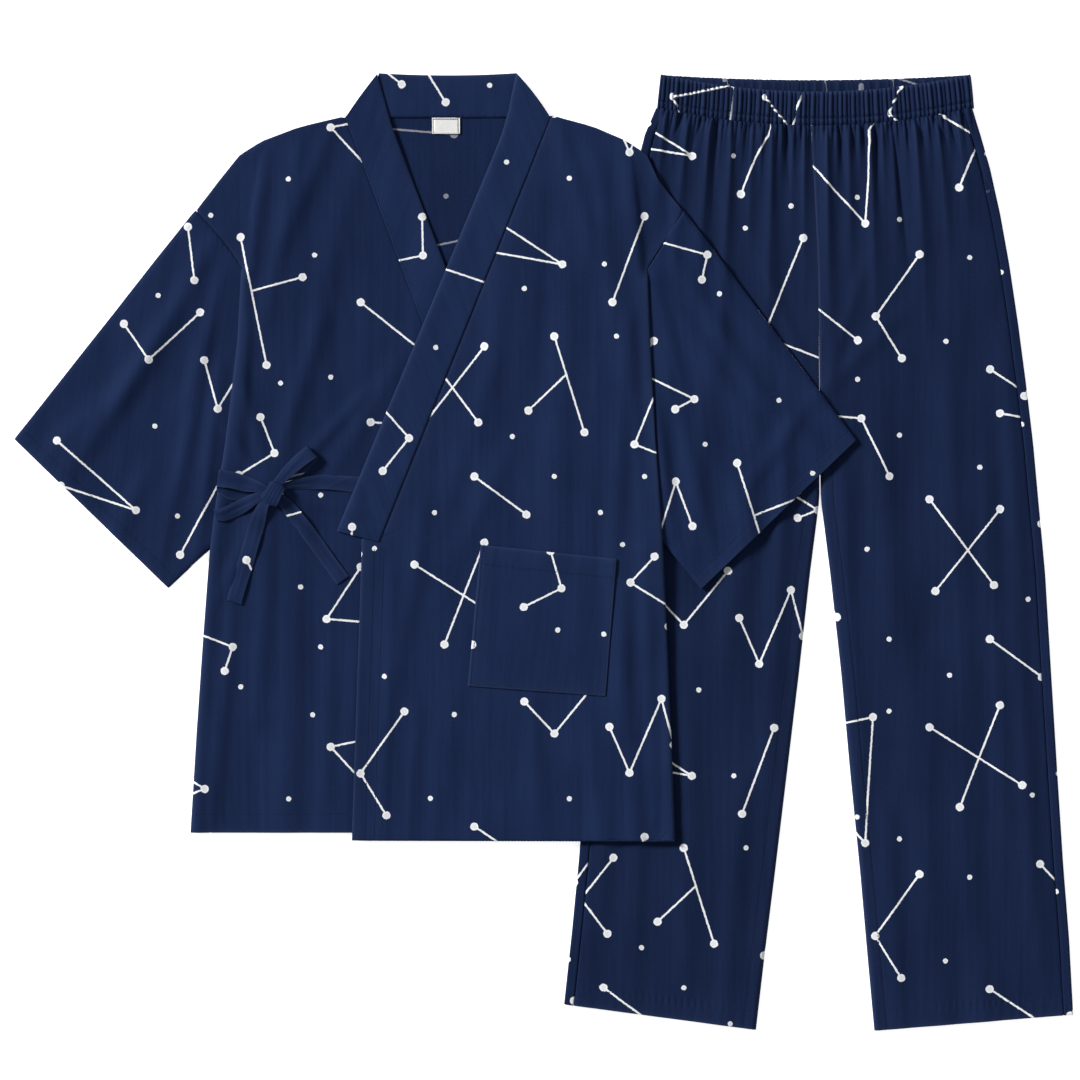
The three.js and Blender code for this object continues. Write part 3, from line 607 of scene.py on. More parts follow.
def make_cloth(name, mid, bolt, material=None, thickness=CLOTH, wrapped=False, wrong_up=False, highlit=(), turn=0.0,
               crest_highlight=0.0):
    """A shell on the grid mid (rows, columns, 3), in metres. bolt is where its cloth was cut: a grid of
    places in millimetres, or just the place of its first corner. The folded edges that are named get a
    painted highlight, and the last argument adds painted highlight to the tops of its gathers."""
    rows, columns = mid.shape[:2]
    normals = grid_normals(mid, wrapped)
    GRIDS[name] = (mid, normals, thickness)
    half = normals * thickness / 2
    points = np.concatenate([(mid + half).reshape(-1, 3), (mid - half).reshape(-1, 3)])
    upper, lower, rim = shell_faces(rows, columns, wrapped)
    faces = np.concatenate([upper, lower, rim])
    mesh = bpy.data.meshes.new(name)
    mesh.vertices.add(len(points))
    mesh.vertices.foreach_set("co", points.ravel())
    mesh.loops.add(faces.size)
    mesh.loops.foreach_set("vertex_index", faces.ravel().astype(np.int32))
    mesh.polygons.add(len(faces))
    mesh.polygons.foreach_set("loop_start", np.arange(0, faces.size, 4, dtype=np.int32))
    mesh.update(calc_edges=True)
    mesh.polygons.foreach_set("use_smooth", np.ones(len(faces), bool))
    if np.ndim(bolt) == 1:
        bolt = on_bolt(mid, turn, bolt)
    corners = bolt.reshape(-1, 2)[faces % (rows * columns)]
    if wrapped:
        # the faces that close the ring take its first column a whole girth further along the bolt
        gap = np.linalg.norm(mid[:, 0] - mid[:, -1], axis=1).mean() / MM
        closing = faces[:2 * len(upper), :1] % columns == columns - 1
        late = closing & (faces[:2 * len(upper)] % columns == 0)
        corners[:2 * len(upper)][late, 0] += bolt[0, -1, 0] - bolt[0, 0, 0] + gap
    for key, value in print_marks(corners).items():
        mesh.attributes.new(key, "FLOAT_VECTOR", "CORNER").data.foreach_set("vector", value.ravel())
    wrong = np.repeat([float(wrong_up), float(not wrong_up), 0.5], [len(upper), len(lower), len(rim)])
    mesh.attributes.new("wrong_side", "FLOAT", "FACE").data.foreach_set("value", wrong)
    near = edge_distances(mid)
    # painted highlight along each named folded edge: a thin bright line at the fold and a broad pale strip beside
    # it, stored with the painted highlight on the tops of the gathers
    painted_highlight = np.zeros((rows, columns))
    for edge in highlit:
        painted_highlight = np.maximum(painted_highlight, 0.50 * np.exp(-near[edge] / 1.3) + 0.10 * np.exp(-near[edge] / 9.0))
    mesh.attributes.new("painted_highlight", "FLOAT", "POINT").data.foreach_set("value", np.tile((painted_highlight + crest_highlight).ravel(), 2))
    mesh.uv_layers.new(name="grain").data.foreach_set("uv", (corners * MM).ravel())
    mesh.materials.append(material or PRINTED_COTTON)
    piece = MADE[name] = put(name, mesh)
    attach(piece, "root")
    low, high = points.min(axis=0), points.max(axis=0)
    print(f"{name}: {len(faces)} faces, from {np.round(low * 1000)} to {np.round(high * 1000)} mm")


# %% [markdown]
# ## Creases
# The big creases are listed one by one, each one a soft ridge along a line with its own length, width and
# height. The same field is used for every layer of a garment that lies on another, so they rise and
# fall together and never cut through each other. Ripples that are finer than that come from a sum of
# slow waves along the warp, which is how washed and pressed cotton lies.

# %% Soft forms
def ridges(table, x, y):
    """Height in mm at x, y in mm. Each row is a ridge: two ends, width and height."""
    total = np.zeros_like(x)
    for x0, y0, x1, y1, width, height in table:
        length = math.hypot(x1 - x0, y1 - y0)
        dx, dy = (x1 - x0) / length, (y1 - y0) / length
        along = (x - x0) * dx + (y - y0) * dy
        across = (x - x0) * dy - (y - y0) * dx + 0.05 * width * np.sin(along / length * 5.0 + width)
        share = np.clip(along / length, 0, 1)
        beyond = along - share * length
        form = np.exp(-(across / width) ** 2 - (beyond / (1.5 * width)) ** 2)
        total += height * form * (0.35 + 0.65 * np.sin(np.pi * (0.12 + 0.76 * share)))
    return total


WARP_WAVES = [
    # across in mm, along in mm, phase, height
    (71, 900, 0.4, 0.50), (47, 520, 2.1, 0.34), (33, 700, 4.0, 0.22), (24, 430, 1.2, 0.12),
    (17, 610, 5.2, 0.06), (97, 300, 2.9, 0.45), (120, 170, 0.9, 0.35),
]


def pressed(x, y):
    """The slow ripple of pressed cotton: never below 0."""
    total = np.zeros_like(x)
    for across, along, phase, height in WARP_WAVES:
        bend = 0.9 * np.sin(y / along * 4.1 + phase * 2.0)
        total += height * (1 + np.sin(x / across * 2 * np.pi + y / along * 2 * np.pi + phase + bend))
    return total * 0.5


def ripple(s, pitch, phase=0.0):
    """An uneven row of small bumps along a seam, from -1 to 1."""
    drift = 1.7 * np.sin(s / (pitch * 5.3) + phase) + 1.1 * np.sin(s / (pitch * 2.9) + 2.2 * phase)
    return np.sin(2 * np.pi * s / pitch + drift) * (0.62 + 0.38 * np.sin(s / (pitch * 3.7) + 1.3 * phase))


def bell(d, at, width):
    return np.exp(-((d - at) / width) ** 2)


def roll(d, radius):
    """1 at a folded edge, falling to 0 at radius."""
    return np.clip(1 - d / radius, 0, 1) ** 2


def hem(d, s, width, phase=0.0, raised=0.45):
    """A turned-up hem: a little thicker than the rest, with its stitch line drawn in and puckered."""
    thick = raised / (1 + np.exp((d - width) / 0.35))
    line = -0.42 * bell(d, width - 1.2, 0.9)
    pucker = 0.26 * ripple(s, 6.5, phase) * bell(d, width - 1.2, 4.5)
    pucker += 0.16 * ripple(s, 11.0, phase + 1) * bell(d, width * 0.35, width * 0.5)
    return thick + line + pucker - 0.35 * roll(d, 2.2)


def seam_edge(d, s, phase=0.0, depth=0.55):
    """An edge sewn to its neighbour: it dips into the seam and puckers a little beside it."""
    return -depth * roll(d, 2.6) + 0.16 * ripple(s, 7.5, phase) * bell(d, 3.0, 3.5)


def lift(mid, height):
    """Moves a grid up by a height in millimetres."""
    raised = mid.copy()
    raised[..., 2] += height * MM
    return raised

# %% [markdown]
# ## Trousers
# Each leg is a back that lies on the table, wraps round the side fold and meets the front at a seam
# 9 mm in from the edge. The elastic band gathers the top: the same list of gathers drives the ribs of
# the band and the folds that run from it down the cloth, so they line up.

# %% Trouser measures
waist_low, waist_high = (np.array(corner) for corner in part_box("waistband"))
WAIST_X = (waist_low[0] + waist_high[0]) / 2
WAIST_Y = waist_high[1]
WAIST_HALF, WAIST_DEEP = 155.0, 34.0
FRONT_SAG, BACK_SAG = 17.0, 5.0
SIDE_WRAP = 9.0
FRONT_MID_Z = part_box("trousers_front_left")[1][2] / MM - 0.5
BACK_MID_Z = 0.5

# Steps between the elastic's gathers, in millimetres, used over and over, and how deep each is.
GATHER_STEPS = [4.2, 5.1, 3.7, 4.6, 5.6, 4.0, 4.9, 3.6, 4.4, 5.3, 3.8, 4.7, 4.2, 5.8, 3.9, 4.5, 5.0]
GATHER_DEPTHS = [1.0, 0.6, 0.9, 1.25, 0.7, 1.1, 0.55, 1.0, 0.8, 1.2, 0.7, 1.05, 0.9, 0.6]
# The folds that run on below the band: where, how far down, how wide, how high, and their drift outwards.
LONG_FOLDS = [
    (-150, 140, 4.5, 2.6, -0.12), (-139, 80, 3.5, 2.2, -0.11), (-128, 190, 5.0, 3.1, -0.10),
    (-117, 70, 3.4, 2.1, -0.08), (-106, 230, 5.5, 3.2, -0.07), (-95, 90, 3.6, 2.3, -0.06),
    (-84, 260, 5.2, 3.2, -0.05), (-74, 75, 3.2, 2.2, -0.04), (-64, 170, 4.6, 2.8, -0.03),
    (-55, 100, 3.6, 2.5, -0.02), (-44, 300, 5.6, 3.4, -0.02), (-34, 80, 3.3, 2.2, -0.02),
    (-24, 150, 4.4, 2.7, -0.01), (-12, 240, 5.0, 3.0, 0.00), (10, 330, 5.4, 3.3, 0.02),
    (21, 90, 3.6, 2.4, 0.01), (32, 210, 4.8, 3.0, 0.02), (43, 75, 3.3, 2.2, 0.02), (54, 290, 5.6, 3.4, 0.03),
    (66, 100, 3.6, 2.4, 0.03), (77, 180, 4.6, 2.8, 0.04), (88, 80, 3.4, 2.2, 0.05),
    (99, 260, 5.4, 3.2, 0.06), (110, 90, 3.6, 2.3, 0.08), (121, 200, 4.8, 2.9, 0.09),
    (131, 75, 3.4, 2.1, 0.10), (141, 160, 4.6, 2.6, 0.11), (151, 90, 3.5, 2.0, 0.12),
]
# The sharp tucks between those folds, in the same measures, with how deep each is.
SHARP_TUCKS = [
    (-133, 28, 1.9, 2.6, -0.35), (-114, 36, 2.2, 2.8, -0.27), (-98, 100, 3.4, 2.9, -0.06),
    (-82, 30, 1.8, 2.4, -0.08), (-66, 44, 2.2, 3.0, -0.04), (-46, 32, 1.8, 2.5, -0.10),
    (-29, 66, 2.3, 3.8, 0.04), (-14, 36, 1.9, 2.8, 0.0), (9, 26, 1.6, 2.2, 0.0), (23, 64, 3.0, 3.4, 0.11),
    (35, 34, 1.8, 2.6, 0.18), (47, 60, 2.2, 3.2, 0.10), (59, 74, 2.3, 3.4, 0.05), (76, 140, 2.6, 3.8, 0.12),
    (89, 26, 1.7, 2.4, 0.15), (100, 34, 2.0, 2.7, 0.33), (117, 30, 1.9, 2.6, 0.50),
    (131, 50, 2.3, 2.9, 0.31), (146, 34, 1.9, 2.3, 0.32),
]
TROUSER_CREASES = [
    (-60, 330, -95, 620, 15, 2.2), (-150, 300, -165, 560, 13, 2.0), (-30, 360, -48, 700, 10, 1.9),
    (-104, 250, -122, 470, 12, 1.9), (-120, 560, -130, 900, 17, 2.2), (-190, 520, -215, 840, 12, 1.9),
    (-70, 700, -90, 940, 12, 1.8), (-174, 700, -186, 920, 13, 1.8), (60, 330, 88, 640, 15, 2.4),
    (128, 290, 150, 610, 15, 2.2), (24, 370, 44, 720, 10, 1.9), (170, 400, 190, 760, 12, 2.1),
    (100, 600, 120, 930, 17, 2.3), (200, 540, 222, 880, 11, 2.0), (70, 740, 84, 945, 11, 1.9),
    (150, 740, 165, 950, 14, 2.0), (-6, 318, -80, 236, 8, 1.7), (8, 318, 84, 238, 8, 1.8),
    (-10, 332, -66, 410, 9, 1.5), (12, 332, 70, 412, 9, 1.6), (-4, 312, -54, 190, 7, 1.3),
    (8, 312, 50, 188, 7, 1.3), (186, 250, 206, 520, 9, 1.6), (-186, 240, -203, 500, 9, 1.5),
]


def gather_edges():
    """Where each gather of the band ends, measured round it from its left end."""
    steps = np.tile(GATHER_STEPS, 10)
    edges = np.concatenate([[0.0], np.cumsum(steps)])
    return edges[:np.searchsorted(edges, 760) + 1]


GATHERS = gather_edges()


def ribs(s):
    """The rounded ribs between sharp tucks that gathered cloth makes, 0 to about 1."""
    count = np.interp(s, GATHERS, np.arange(len(GATHERS)))
    depth = np.array(GATHER_DEPTHS)[np.floor(count).astype(int) % len(GATHER_DEPTHS)]
    return depth * np.abs(np.sin(np.pi * count)) ** 0.75


def waist_relief(x, drop):
    """Height in mm of the trousers' upper cloth, in millimetres from the middle of the waist."""
    sag = FRONT_SAG * np.clip(1 - (x / WAIST_HALF) ** 2, 0, 1)
    below = np.maximum(drop - WAIST_DEEP - sag, 0)
    flare = 1 + below * 0.0012
    total = ribs((x / flare) + WAIST_HALF) * 2.9 * np.exp(-below / 12.0)
    for place, length, width, height, drift in LONG_FOLDS:
        strength = fade(below, length, 0) ** 1.2 * fade(below, 0, 12) ** 0.7
        beside = (x - place - drift * below) / (width * (0.75 + 1.5 * below / length))
        total = total + 1.75 * height * strength * np.exp(-np.abs(beside) ** 1.6)
    for place, length, width, depth, drift in SHARP_TUCKS:
        strength = fade(below, 1.3 * length, 0) * np.clip(0.3 + below / 5, 0, 1)
        beside = (x - place - drift * below) / (width * (1.0 + below / length))
        total = total - 1.25 * depth * strength * np.exp(-np.abs(beside) ** 1.3)
    return total


def trouser_relief(x, drop):
    return 1.2 * ridges(TROUSER_CREASES, x, drop) + pressed(x + 400, drop) + waist_relief(x, drop)


def trouser_frame(grid):
    return (grid[..., 0] - WAIST_X) / MM, (WAIST_Y - grid[..., 1]) / MM


# %% Trouser fronts
def trouser_front(side, bolt):
    rows = spaced(920, [(60, 2.2), (150, 5.0), (330, 7.5), (888, 11.0), (920, 1.5)])
    columns = edge_spaced(205, 0.2)
    mid = lay_on(f"trousers_front_{side}", rows, columns, head=0.022, foot=0.032)
    mid[..., 2] = FRONT_MID_Z * MM
    x, drop = trouser_frame(mid)
    near = edge_distances(mid)
    inner, outer = ("left", "right") if side == "left" else ("right", "left")
    height = trouser_relief(x, drop)
    closed = fade(drop, 300, 340)
    height -= (0.9 + 1.5 * closed) * roll(near[inner], 4.5)
    height += seam_edge(near[outer], drop, 0.4)
    height -= 0.38 * bell(near[inner], 10.0 + 2.5 * closed, 0.9) * closed
    height += 0.15 * ripple(drop, 9.0, 1.1) * bell(near[inner], 8.0, 5.0) * closed
    height += hem(near["foot"], x, 19.0, 0.7) - 0.9 * roll(near["head"], 3.0)
    formed = lift(mid, height)
    # the print bends where the cloth rises and falls, because a fold takes up some of its width
    taken = distance_along(formed, 1) - distance_along(mid, 1)
    bolt_grid = on_bolt(mid, 0.0, bolt)
    bolt_grid[..., 0] += 1.2 * (taken - taken[:, -1:] * columns)
    # painted highlight on the tops of the folds below the waist, fading down the leg
    painted_light = 0.24 * fade(height - evened(height, 60), 0, 1.1) * np.exp(-drop / 170.0)
    make_cloth(f"trouser_front_{side}", formed, bolt_grid, LEG_COTTON_PAINTED_DARKER, highlit=[inner, "foot"], crest_highlight=painted_light)


trouser_front("left", (72.0, 46.0))
trouser_front("right", (310.0, 300.0))

# %% Trouser backs
def pocket_mouth(x, drop):
    """Distance to the end of the side pocket's mouth, where it leaves the seam and runs out to the side."""
    start, end = np.array([164.5, 95.0]), np.array([176.0, 118.0])
    place = np.dstack([np.abs(x), drop]) - start
    share = np.clip(place @ (end - start) / np.sum((end - start) ** 2), 0, 1)
    return np.linalg.norm(place - share[..., None] * (end - start), axis=2)


def trouser_back(side, bolt):
    """The back lies flat, turns up round the side fold and ends at the side seam on top."""
    rows = spaced(920, [(60, 2.5), (126, 3.0), (888, 9.5), (920, 1.8)])
    order = slice(None) if side == "left" else slice(None, None, -1)
    sheet = lay_grid(f"trousers_back_{side}", rows, np.array([0.0, 1.0]), head=0.010, foot=0.032)[:, order]
    inner, outer = sheet[:, 0], sheet[:, 1]
    width = np.linalg.norm(inner - outer, axis=1)[:, None]
    radius = (FRONT_MID_Z - BACK_MID_Z) / 2
    turn = np.linspace(0, np.pi, 9)
    top_in = np.linspace(SIDE_WRAP, radius, 8)[:-1]
    low_in = np.linspace(0, 1, 30)[None, 1:]
    over = np.concatenate([top_in, radius * (1 - np.sin(turn))])
    under = radius + (width / MM - radius - 0.6) * low_in
    offset = np.hstack([np.broadcast_to(over, (len(rows), len(over))), under])
    level = np.concatenate([np.full(len(top_in), FRONT_MID_Z), BACK_MID_Z + radius * (1 + np.cos(turn)),
                            np.full(low_in.size, BACK_MID_Z)])
    xy = outer[:, None, :] + ((inner - outer) / width)[:, None, :] * offset[..., None] * MM
    mid = np.dstack([xy, np.broadcast_to(level, offset.shape) * MM])
    x, drop = trouser_frame(mid)
    upper = fade(level[None, :], BACK_MID_Z, FRONT_MID_Z)
    near_seam = np.abs(offset - SIDE_WRAP) + 10 * (1 - upper)
    height = trouser_relief(x, drop) + seam_edge(near_seam, drop, 1.9)
    height -= 0.8 * bell(near_seam, 0.0, 1.6) * fade(drop, 40, 48) * fade(drop, 98, 90)
    height += hem(edge_distances(mid)["foot"], x, 19.0, 0.7) - 0.9 * bell(pocket_mouth(x, drop), 0.0, 1.3)
    height = height * upper + 0.7 * roll(width / MM - offset, 5.0) * (1 - upper)
    bolt_grid = np.dstack([distance_along(mid, 1) + bolt[0], drop + bolt[1]])
    make_cloth(f"trouser_back_{side}", lift(mid, height)[:, order], bolt_grid[:, order], LEG_COTTON_PAINTED_DARKER)


trouser_back("left", (20.0, 210.0))
trouser_back("right", (150.0, 90.0))

# %% Waistband
def waistband(bolt):
    """One ring pressed flat: the front wall, the right fold, the back wall and the left fold."""
    low_mid, high_mid = 0.55, waist_high[2] / MM - 0.5
    radius = (high_mid - low_mid) / 2
    turn = np.linspace(0, np.pi, 10)[1:-1]
    front = np.linspace(-WAIST_HALF, WAIST_HALF, 521)
    back = front[::-1][::3]
    x = np.concatenate([front, WAIST_HALF + radius * np.sin(turn), back, -WAIST_HALF - radius * np.sin(turn)])
    z = np.concatenate([np.full(len(front), high_mid), low_mid + radius * (1 + np.cos(turn)),
                        np.full(len(back), low_mid), low_mid + radius * (1 - np.cos(turn))])
    s = distance_along(np.stack([x, z], axis=1)) * MM
    upper = (z - low_mid) / (high_mid - low_mid)
    sag = (BACK_SAG + (FRONT_SAG - BACK_SAG) * upper) * np.clip(1 - (x / WAIST_HALF) ** 2, 0, 1)
    share = edge_spaced(26, WAIST_DEEP * MM, 0.0012)[:, None]
    # the ribs are pinched at the folded top edge, at the stitching and at the seam
    pinched = 0.55 * bell(share, 0.0, 0.07) + 0.62 * bell(share, 0.79, 0.035) + 0.45 * bell(share, 1.0, 0.05)
    rib = ribs(s) * (1 - pinched)
    lean = 0.9 * np.sin(s / 37.0 + share * 2.2) * (share - 0.5)
    height = rib * (1.7 + 1.1 * upper) - 0.5 * upper * bell(share, 0.0, 0.05)
    drop = share * WAIST_DEEP + sag + 0.55 * ribs(s + 2.3) * bell(share, 0.0, 0.12)
    px = x * (1 + 0.022 * (share - 0.5)) + lean * upper
    mid = np.dstack([WAIST_X + px * MM, WAIST_Y - drop * MM, np.maximum(z + height, 0.5) * MM])
    # every tuck between two ribs swallows a few millimetres of cloth, and breaks the print there
    swallowed = 3.4 * np.floor(np.interp(s, GATHERS, np.arange(len(GATHERS))))
    bolt_grid = np.dstack(np.broadcast_arrays(s + swallowed + bolt[0], share * WAIST_DEEP + bolt[1]))
    # painted highlight on the tops of the band's ribs
    make_cloth("waistband_cloth", mid, bolt_grid, LEG_COTTON_PAINTED_DARKER, wrapped=True, highlit=["head"],
               crest_highlight=0.26 * np.clip(rib, 0, 1) ** 5)


waistband((10.0, 20.0))

# %% [markdown]
# ## Jacket
# The jacket lies on the table at its right and climbs onto the trousers at its left. Its back lies
# lowest, then the sleeves, the two fronts, the collar band and the ties. All of its layers share one
# crease field, and over the trousers they also rise and fall with the cloth below them.

# %% Jacket measures
neck_low, neck_high = (np.array(corner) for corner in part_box("collar_back"))
NECK_X, NECK_Y = (neck_low[0] + neck_high[0]) / 2, neck_high[1]
JACKET_CREASES = [
    # right front and shoulder, from the neck to the hem
    (-120, 62, -165, 170, 10, 2.0), (-150, 78, -182, 250, 9, 1.9), (-95, 96, -150, 330, 14, 2.0),
    (-128, 250, -175, 404, 10, 1.9), (-40, 270, -112, 396, 10, 1.8), (-168, 412, -84, 322, 6, 1.9),
    (-166, 424, -86, 440, 6, 1.4), (-182, 428, -226, 520, 7, 1.9), (-178, 436, -190, 640, 9, 2.0),
    (-212, 500, -236, 744, 9, 2.2), (-150, 460, -162, 748, 13, 2.1), (-116, 520, -124, 750, 9, 1.7),
    (-198, 250, -212, 412, 7, 1.9), (-90, 560, -100, 752, 9, 1.5), (-186, 410, -224, 350, 6, 1.4),
    (-180, 405, -206, 300, 7, 1.5),
    # left front
    (115, 66, 152, 200, 10, 2.1), (66, 150, 26, 420, 14, 1.9), (150, 92, 174, 300, 10, 2.2),
    (120, 220, 108, 470, 15, 2.1), (182, 250, 197, 470, 8, 2.2), (60, 380, 16, 474, 11, 1.5),
    (-24, 440, -54, 620, 10, 1.7), (-54, 500, -66, 752, 8, 1.5), (196, 480, 208, 744, 8, 2.1),
    (170, 500, 188, 762, 11, 2.0), (12, 560, -8, 764, 14, 1.9), (84, 632, 94, 766, 11, 1.8),
    (140, 634, 152, 766, 10, 1.8), (-30, 640, -38, 766, 7, 1.4), (92, 120, 76, 300, 13, 1.7),
    (40, 300, 4, 420, 12, 1.6),
    # sleeves, along their length and bent at the elbow
    (-236, 170, -330, 330, 10, 2.3), (-262, 230, -376, 396, 12, 2.2), (-238, 260, -284, 474, 9, 2.1),
    (-300, 292, -396, 402, 15, 1.9), (-228, 300, -250, 474, 7, 2.2), (-300, 396, -336, 476, 11, 1.8),
    (-226, 206, -262, 330, 8, 1.8), (-350, 330, -410, 392, 10, 1.6), (222, 180, 318, 330, 10, 2.3),
    (230, 240, 336, 396, 12, 2.3), (216, 280, 264, 474, 9, 2.2), (280, 294, 376, 396, 14, 1.8),
    (208, 320, 224, 456, 7, 2.1), (280, 404, 316, 474, 10, 1.8), (206, 210, 240, 330, 8, 1.8),
    (330, 330, 388, 392, 10, 1.6),
]
DOWN = np.array([0.0, -1.0])
EDGE_ROWS = np.linspace(-0.46, 0.42, 60)
TROUSER_EDGE = [reach("trousers_back_right", DOWN, -y)[0] for y in EDGE_ROWS]


def jacket_frame(grid):
    return (grid[..., 0] - NECK_X) / MM, (NECK_Y - grid[..., 1]) / MM


def below_relief(grid):
    """How much the trousers under the jacket lift it, fading away beside their outer edge."""
    x, drop = trouser_frame(grid)
    edge = np.interp(grid[..., 1], EDGE_ROWS, TROUSER_EDGE)
    beside = fade(edge - grid[..., 0], 0.045, 0)
    return trouser_relief(x, np.maximum(drop, WAIST_DEEP + 20)) * beside ** 2 * (3 - 2 * beside)


def jacket_relief(x, drop):
    return 1.15 * ridges(JACKET_CREASES, x, drop) + pressed(x, drop)


ARMHOLE_FOLD = {
    # how far down the jacket, and how far out the fold lies there
    "right": [(68, -180), (82, -187), (108, -190), (138, -194.5), (195, -202), (270, -206)],
    "left": [(68, 170), (82, 184), (108, 187), (138, 190), (195, 195.5), (270, 198.5)],
}


def armhole_fold(side, x, drop):
    """The body folds down onto the dropped shoulder: high inside the fold, low outside it."""
    outward = -1 if side == "right" else 1
    outside = (x - np.interp(drop, *zip(*ARMHOLE_FOLD[side]))) * outward
    strength = fade(drop, 62, 122) * fade(drop, 206, 196)
    return (2.0 * bell(outside, -5.0, 7.0) - 1.5 * fade(outside, -1, 2)) * strength


# %% Back
def jacket_places(mid):
    """A grid's x and drop in the jacket's frame, and its distances from the piece's own edges."""
    return *jacket_frame(mid), edge_distances(mid)


def jacket_back():
    mid = lay_on("jacket_back", edge_spaced(120, 0.71), edge_spaced(70, 0.45))
    # its top edge is caught inside the neck band, so no gap shows in that seam
    mid[..., 1:] += np.clip(1 - edge_distances(mid)["head"] / 2.0, 0, 1)[..., None] * (1.4 * MM, -0.2 * MM)
    x, drop, near = jacket_places(mid)
    height = below_relief(mid) + 0.22 * jacket_relief(x, drop) + hem(near["foot"], x, 20.0, 0.2, 0.3)
    make_cloth("jacket_back_cloth", lift(mid, height), (120.0, 520.0), wrong_up=True)


jacket_back()

# %% Fronts
def tuck_under_band(mid):
    """The free edge of the left front starts a few millimetres under the end of the band."""
    x, drop = jacket_frame(mid)
    rows = (drop[:, 0] > 461.5) & (drop[:, 0] < 472.5)
    edge = x[drop[:, 0] > 476][0, 0]
    moved = x[rows] - (x[rows, :1] - edge) * np.clip(1 - (x[rows] - x[rows, :1]) / 48, 0, 1)
    mid[rows, :, 0] = NECK_X + moved * MM
    mid[rows, :, 2] -= 0.6 * MM * fade(moved, edge + 24, edge + 18) * fade(drop[rows], 471, 468)


def jacket_front(side, bolt):
    left = side == "left"
    mid = lay_on(f"jacket_front_{side}", edge_spaced(186, 0.725), edge_spaced(108, 0.30), smooth=3)
    if left:
        tuck_under_band(mid)
    x, drop, near = jacket_places(mid)
    outer, inner = ("right", "left") if left else ("left", "right")
    height = below_relief(mid) + jacket_relief(x, drop) + armhole_fold(side, x, drop)
    body = fade(drop, 195, 207)
    bulge, tip = ((2.2, 1.5, 10.0), (0.9, 1.8)) if left else ((2.0, 5.0, 8.0), (1.3, 4.0))
    height += body * (bulge[0] * bell(near[outer], *bulge[1:]) - tip[0] * roll(near[outer], tip[1]))
    height += (1 - body) * seam_edge(near[outer], drop, 0.9)
    sewn = fade(drop, 474, 470)
    height += sewn * seam_edge(near[inner], drop, 2.4, 0.5)
    if left:
        facing = -0.30 * bell(near[inner], 12.5, 0.9) - 0.34 * bell(near[inner], 22.0, 0.9)
        facing += 0.14 * ripple(drop, 8.0, 0.5) * bell(near[inner], 10.0, 7.0) - 0.4 * roll(near[inner], 2.0)
        height += (1 - sewn) * facing
    height += hem(near["foot"], x, 18.0 if left else 20.0, 1.4)
    # the edges that get the painted highlight
    highlit = [outer, inner, "foot"] if left else [outer, "foot"]
    make_cloth(f"jacket_front_{side}_cloth", lift(mid, height), bolt, highlit=highlit)


jacket_front("right", (40.0, 30.0))
jacket_front("left", (330.0, 200.0))

# %% Sleeves
UNDER_SLEEVE = np.array([211.0, 97.0])  # how much further along the bolt the lower wall was cut, in millimetres


def sleeve(side, way, bolt, turn):
    """A flattened tube: upper wall, top fold, lower wall, under fold."""
    node, how = f"sleeve_{side}", dict(down=way, head=0.004, foot=0.012)
    rows, walls = edge_spaced(110, 0.32), edge_spaced(84, 0.22)
    down = np.array(way) / np.hypot(*way)
    across = np.array([-down[1], down[0]])
    xy = lay_grid(node, rows, walls, **how)
    inner = lay_grid(node, rows, walls, margin=0.01, **how)
    # the end at the shoulder is tucked a little under the body, so that no gap shows in the seam
    xy = xy + np.clip(1 - edge_distances(xy)["foot"] / 6.0, 0, 1)[..., None] * 2.4 * MM * down
    upper = evened(surface_height(node, inner) / MM - 0.5, 6)
    lower = evened(surface_height(node, inner, -0.2) / MM + 0.5, 6)
    x, drop, near = jacket_places(xy)
    below = below_relief(xy)
    top_wall = upper + below + jacket_relief(x, drop) + hem(near["head"], near["left"], 14.0, 0.3)
    top_wall += seam_edge(near["foot"], near["left"], 1.2) - 1.1 * np.clip(1 - near["foot"] / 3.0, 0, 1)
    low_wall = lower + below
    soft = 0.5 * (roll(near["left"], 4.0) + roll(near["right"], 4.0))
    top_wall = top_wall - soft * (top_wall - low_wall) * 0.55
    low_wall = low_wall + soft * (top_wall - low_wall) * 0.12
    angles = np.linspace(0, np.pi, 8)[1:-1]

    def fold(column, outward):
        middle, half = (top_wall + low_wall)[:, [column]] / 2, (top_wall - low_wall)[:, [column]] / 2
        out = outward * half * np.sin(angles) * MM * 0.6
        edge = xy[:, [column]] + out[..., None] * across
        return np.dstack([edge, (middle + half * np.cos(angles)) * MM])

    thinned = np.unique(np.r_[0:len(walls):2, len(walls) - 1])[::-1]
    top_grid, low_grid = np.dstack([xy, top_wall * MM]), np.dstack([xy, low_wall * MM])[:, thinned]
    ring = np.concatenate([top_grid, fold(-1, 1.0), low_grid, fold(0, -1.0)[:, ::-1]], axis=1)
    cut = on_bolt(xy, turn, bolt)
    over, under = (np.repeat(cut[:, [column]], len(angles), axis=1) for column in (-1, 0))
    bolt_grid = np.concatenate([cut, over, cut[:, thinned] + UNDER_SLEEVE, under + UNDER_SLEEVE], axis=1)
    make_cloth(f"sleeve_{side}_cloth", ring, bolt_grid, wrapped=True, highlit=["head"])


sleeve("right", (0.695, 0.719), (380.0, 420.0), 8.0)
sleeve("left", (-0.693, 0.721), (60.0, 140.0), -6.0)

# %% Collar
DOUBLED = 0.0016  # the collar band is folded double


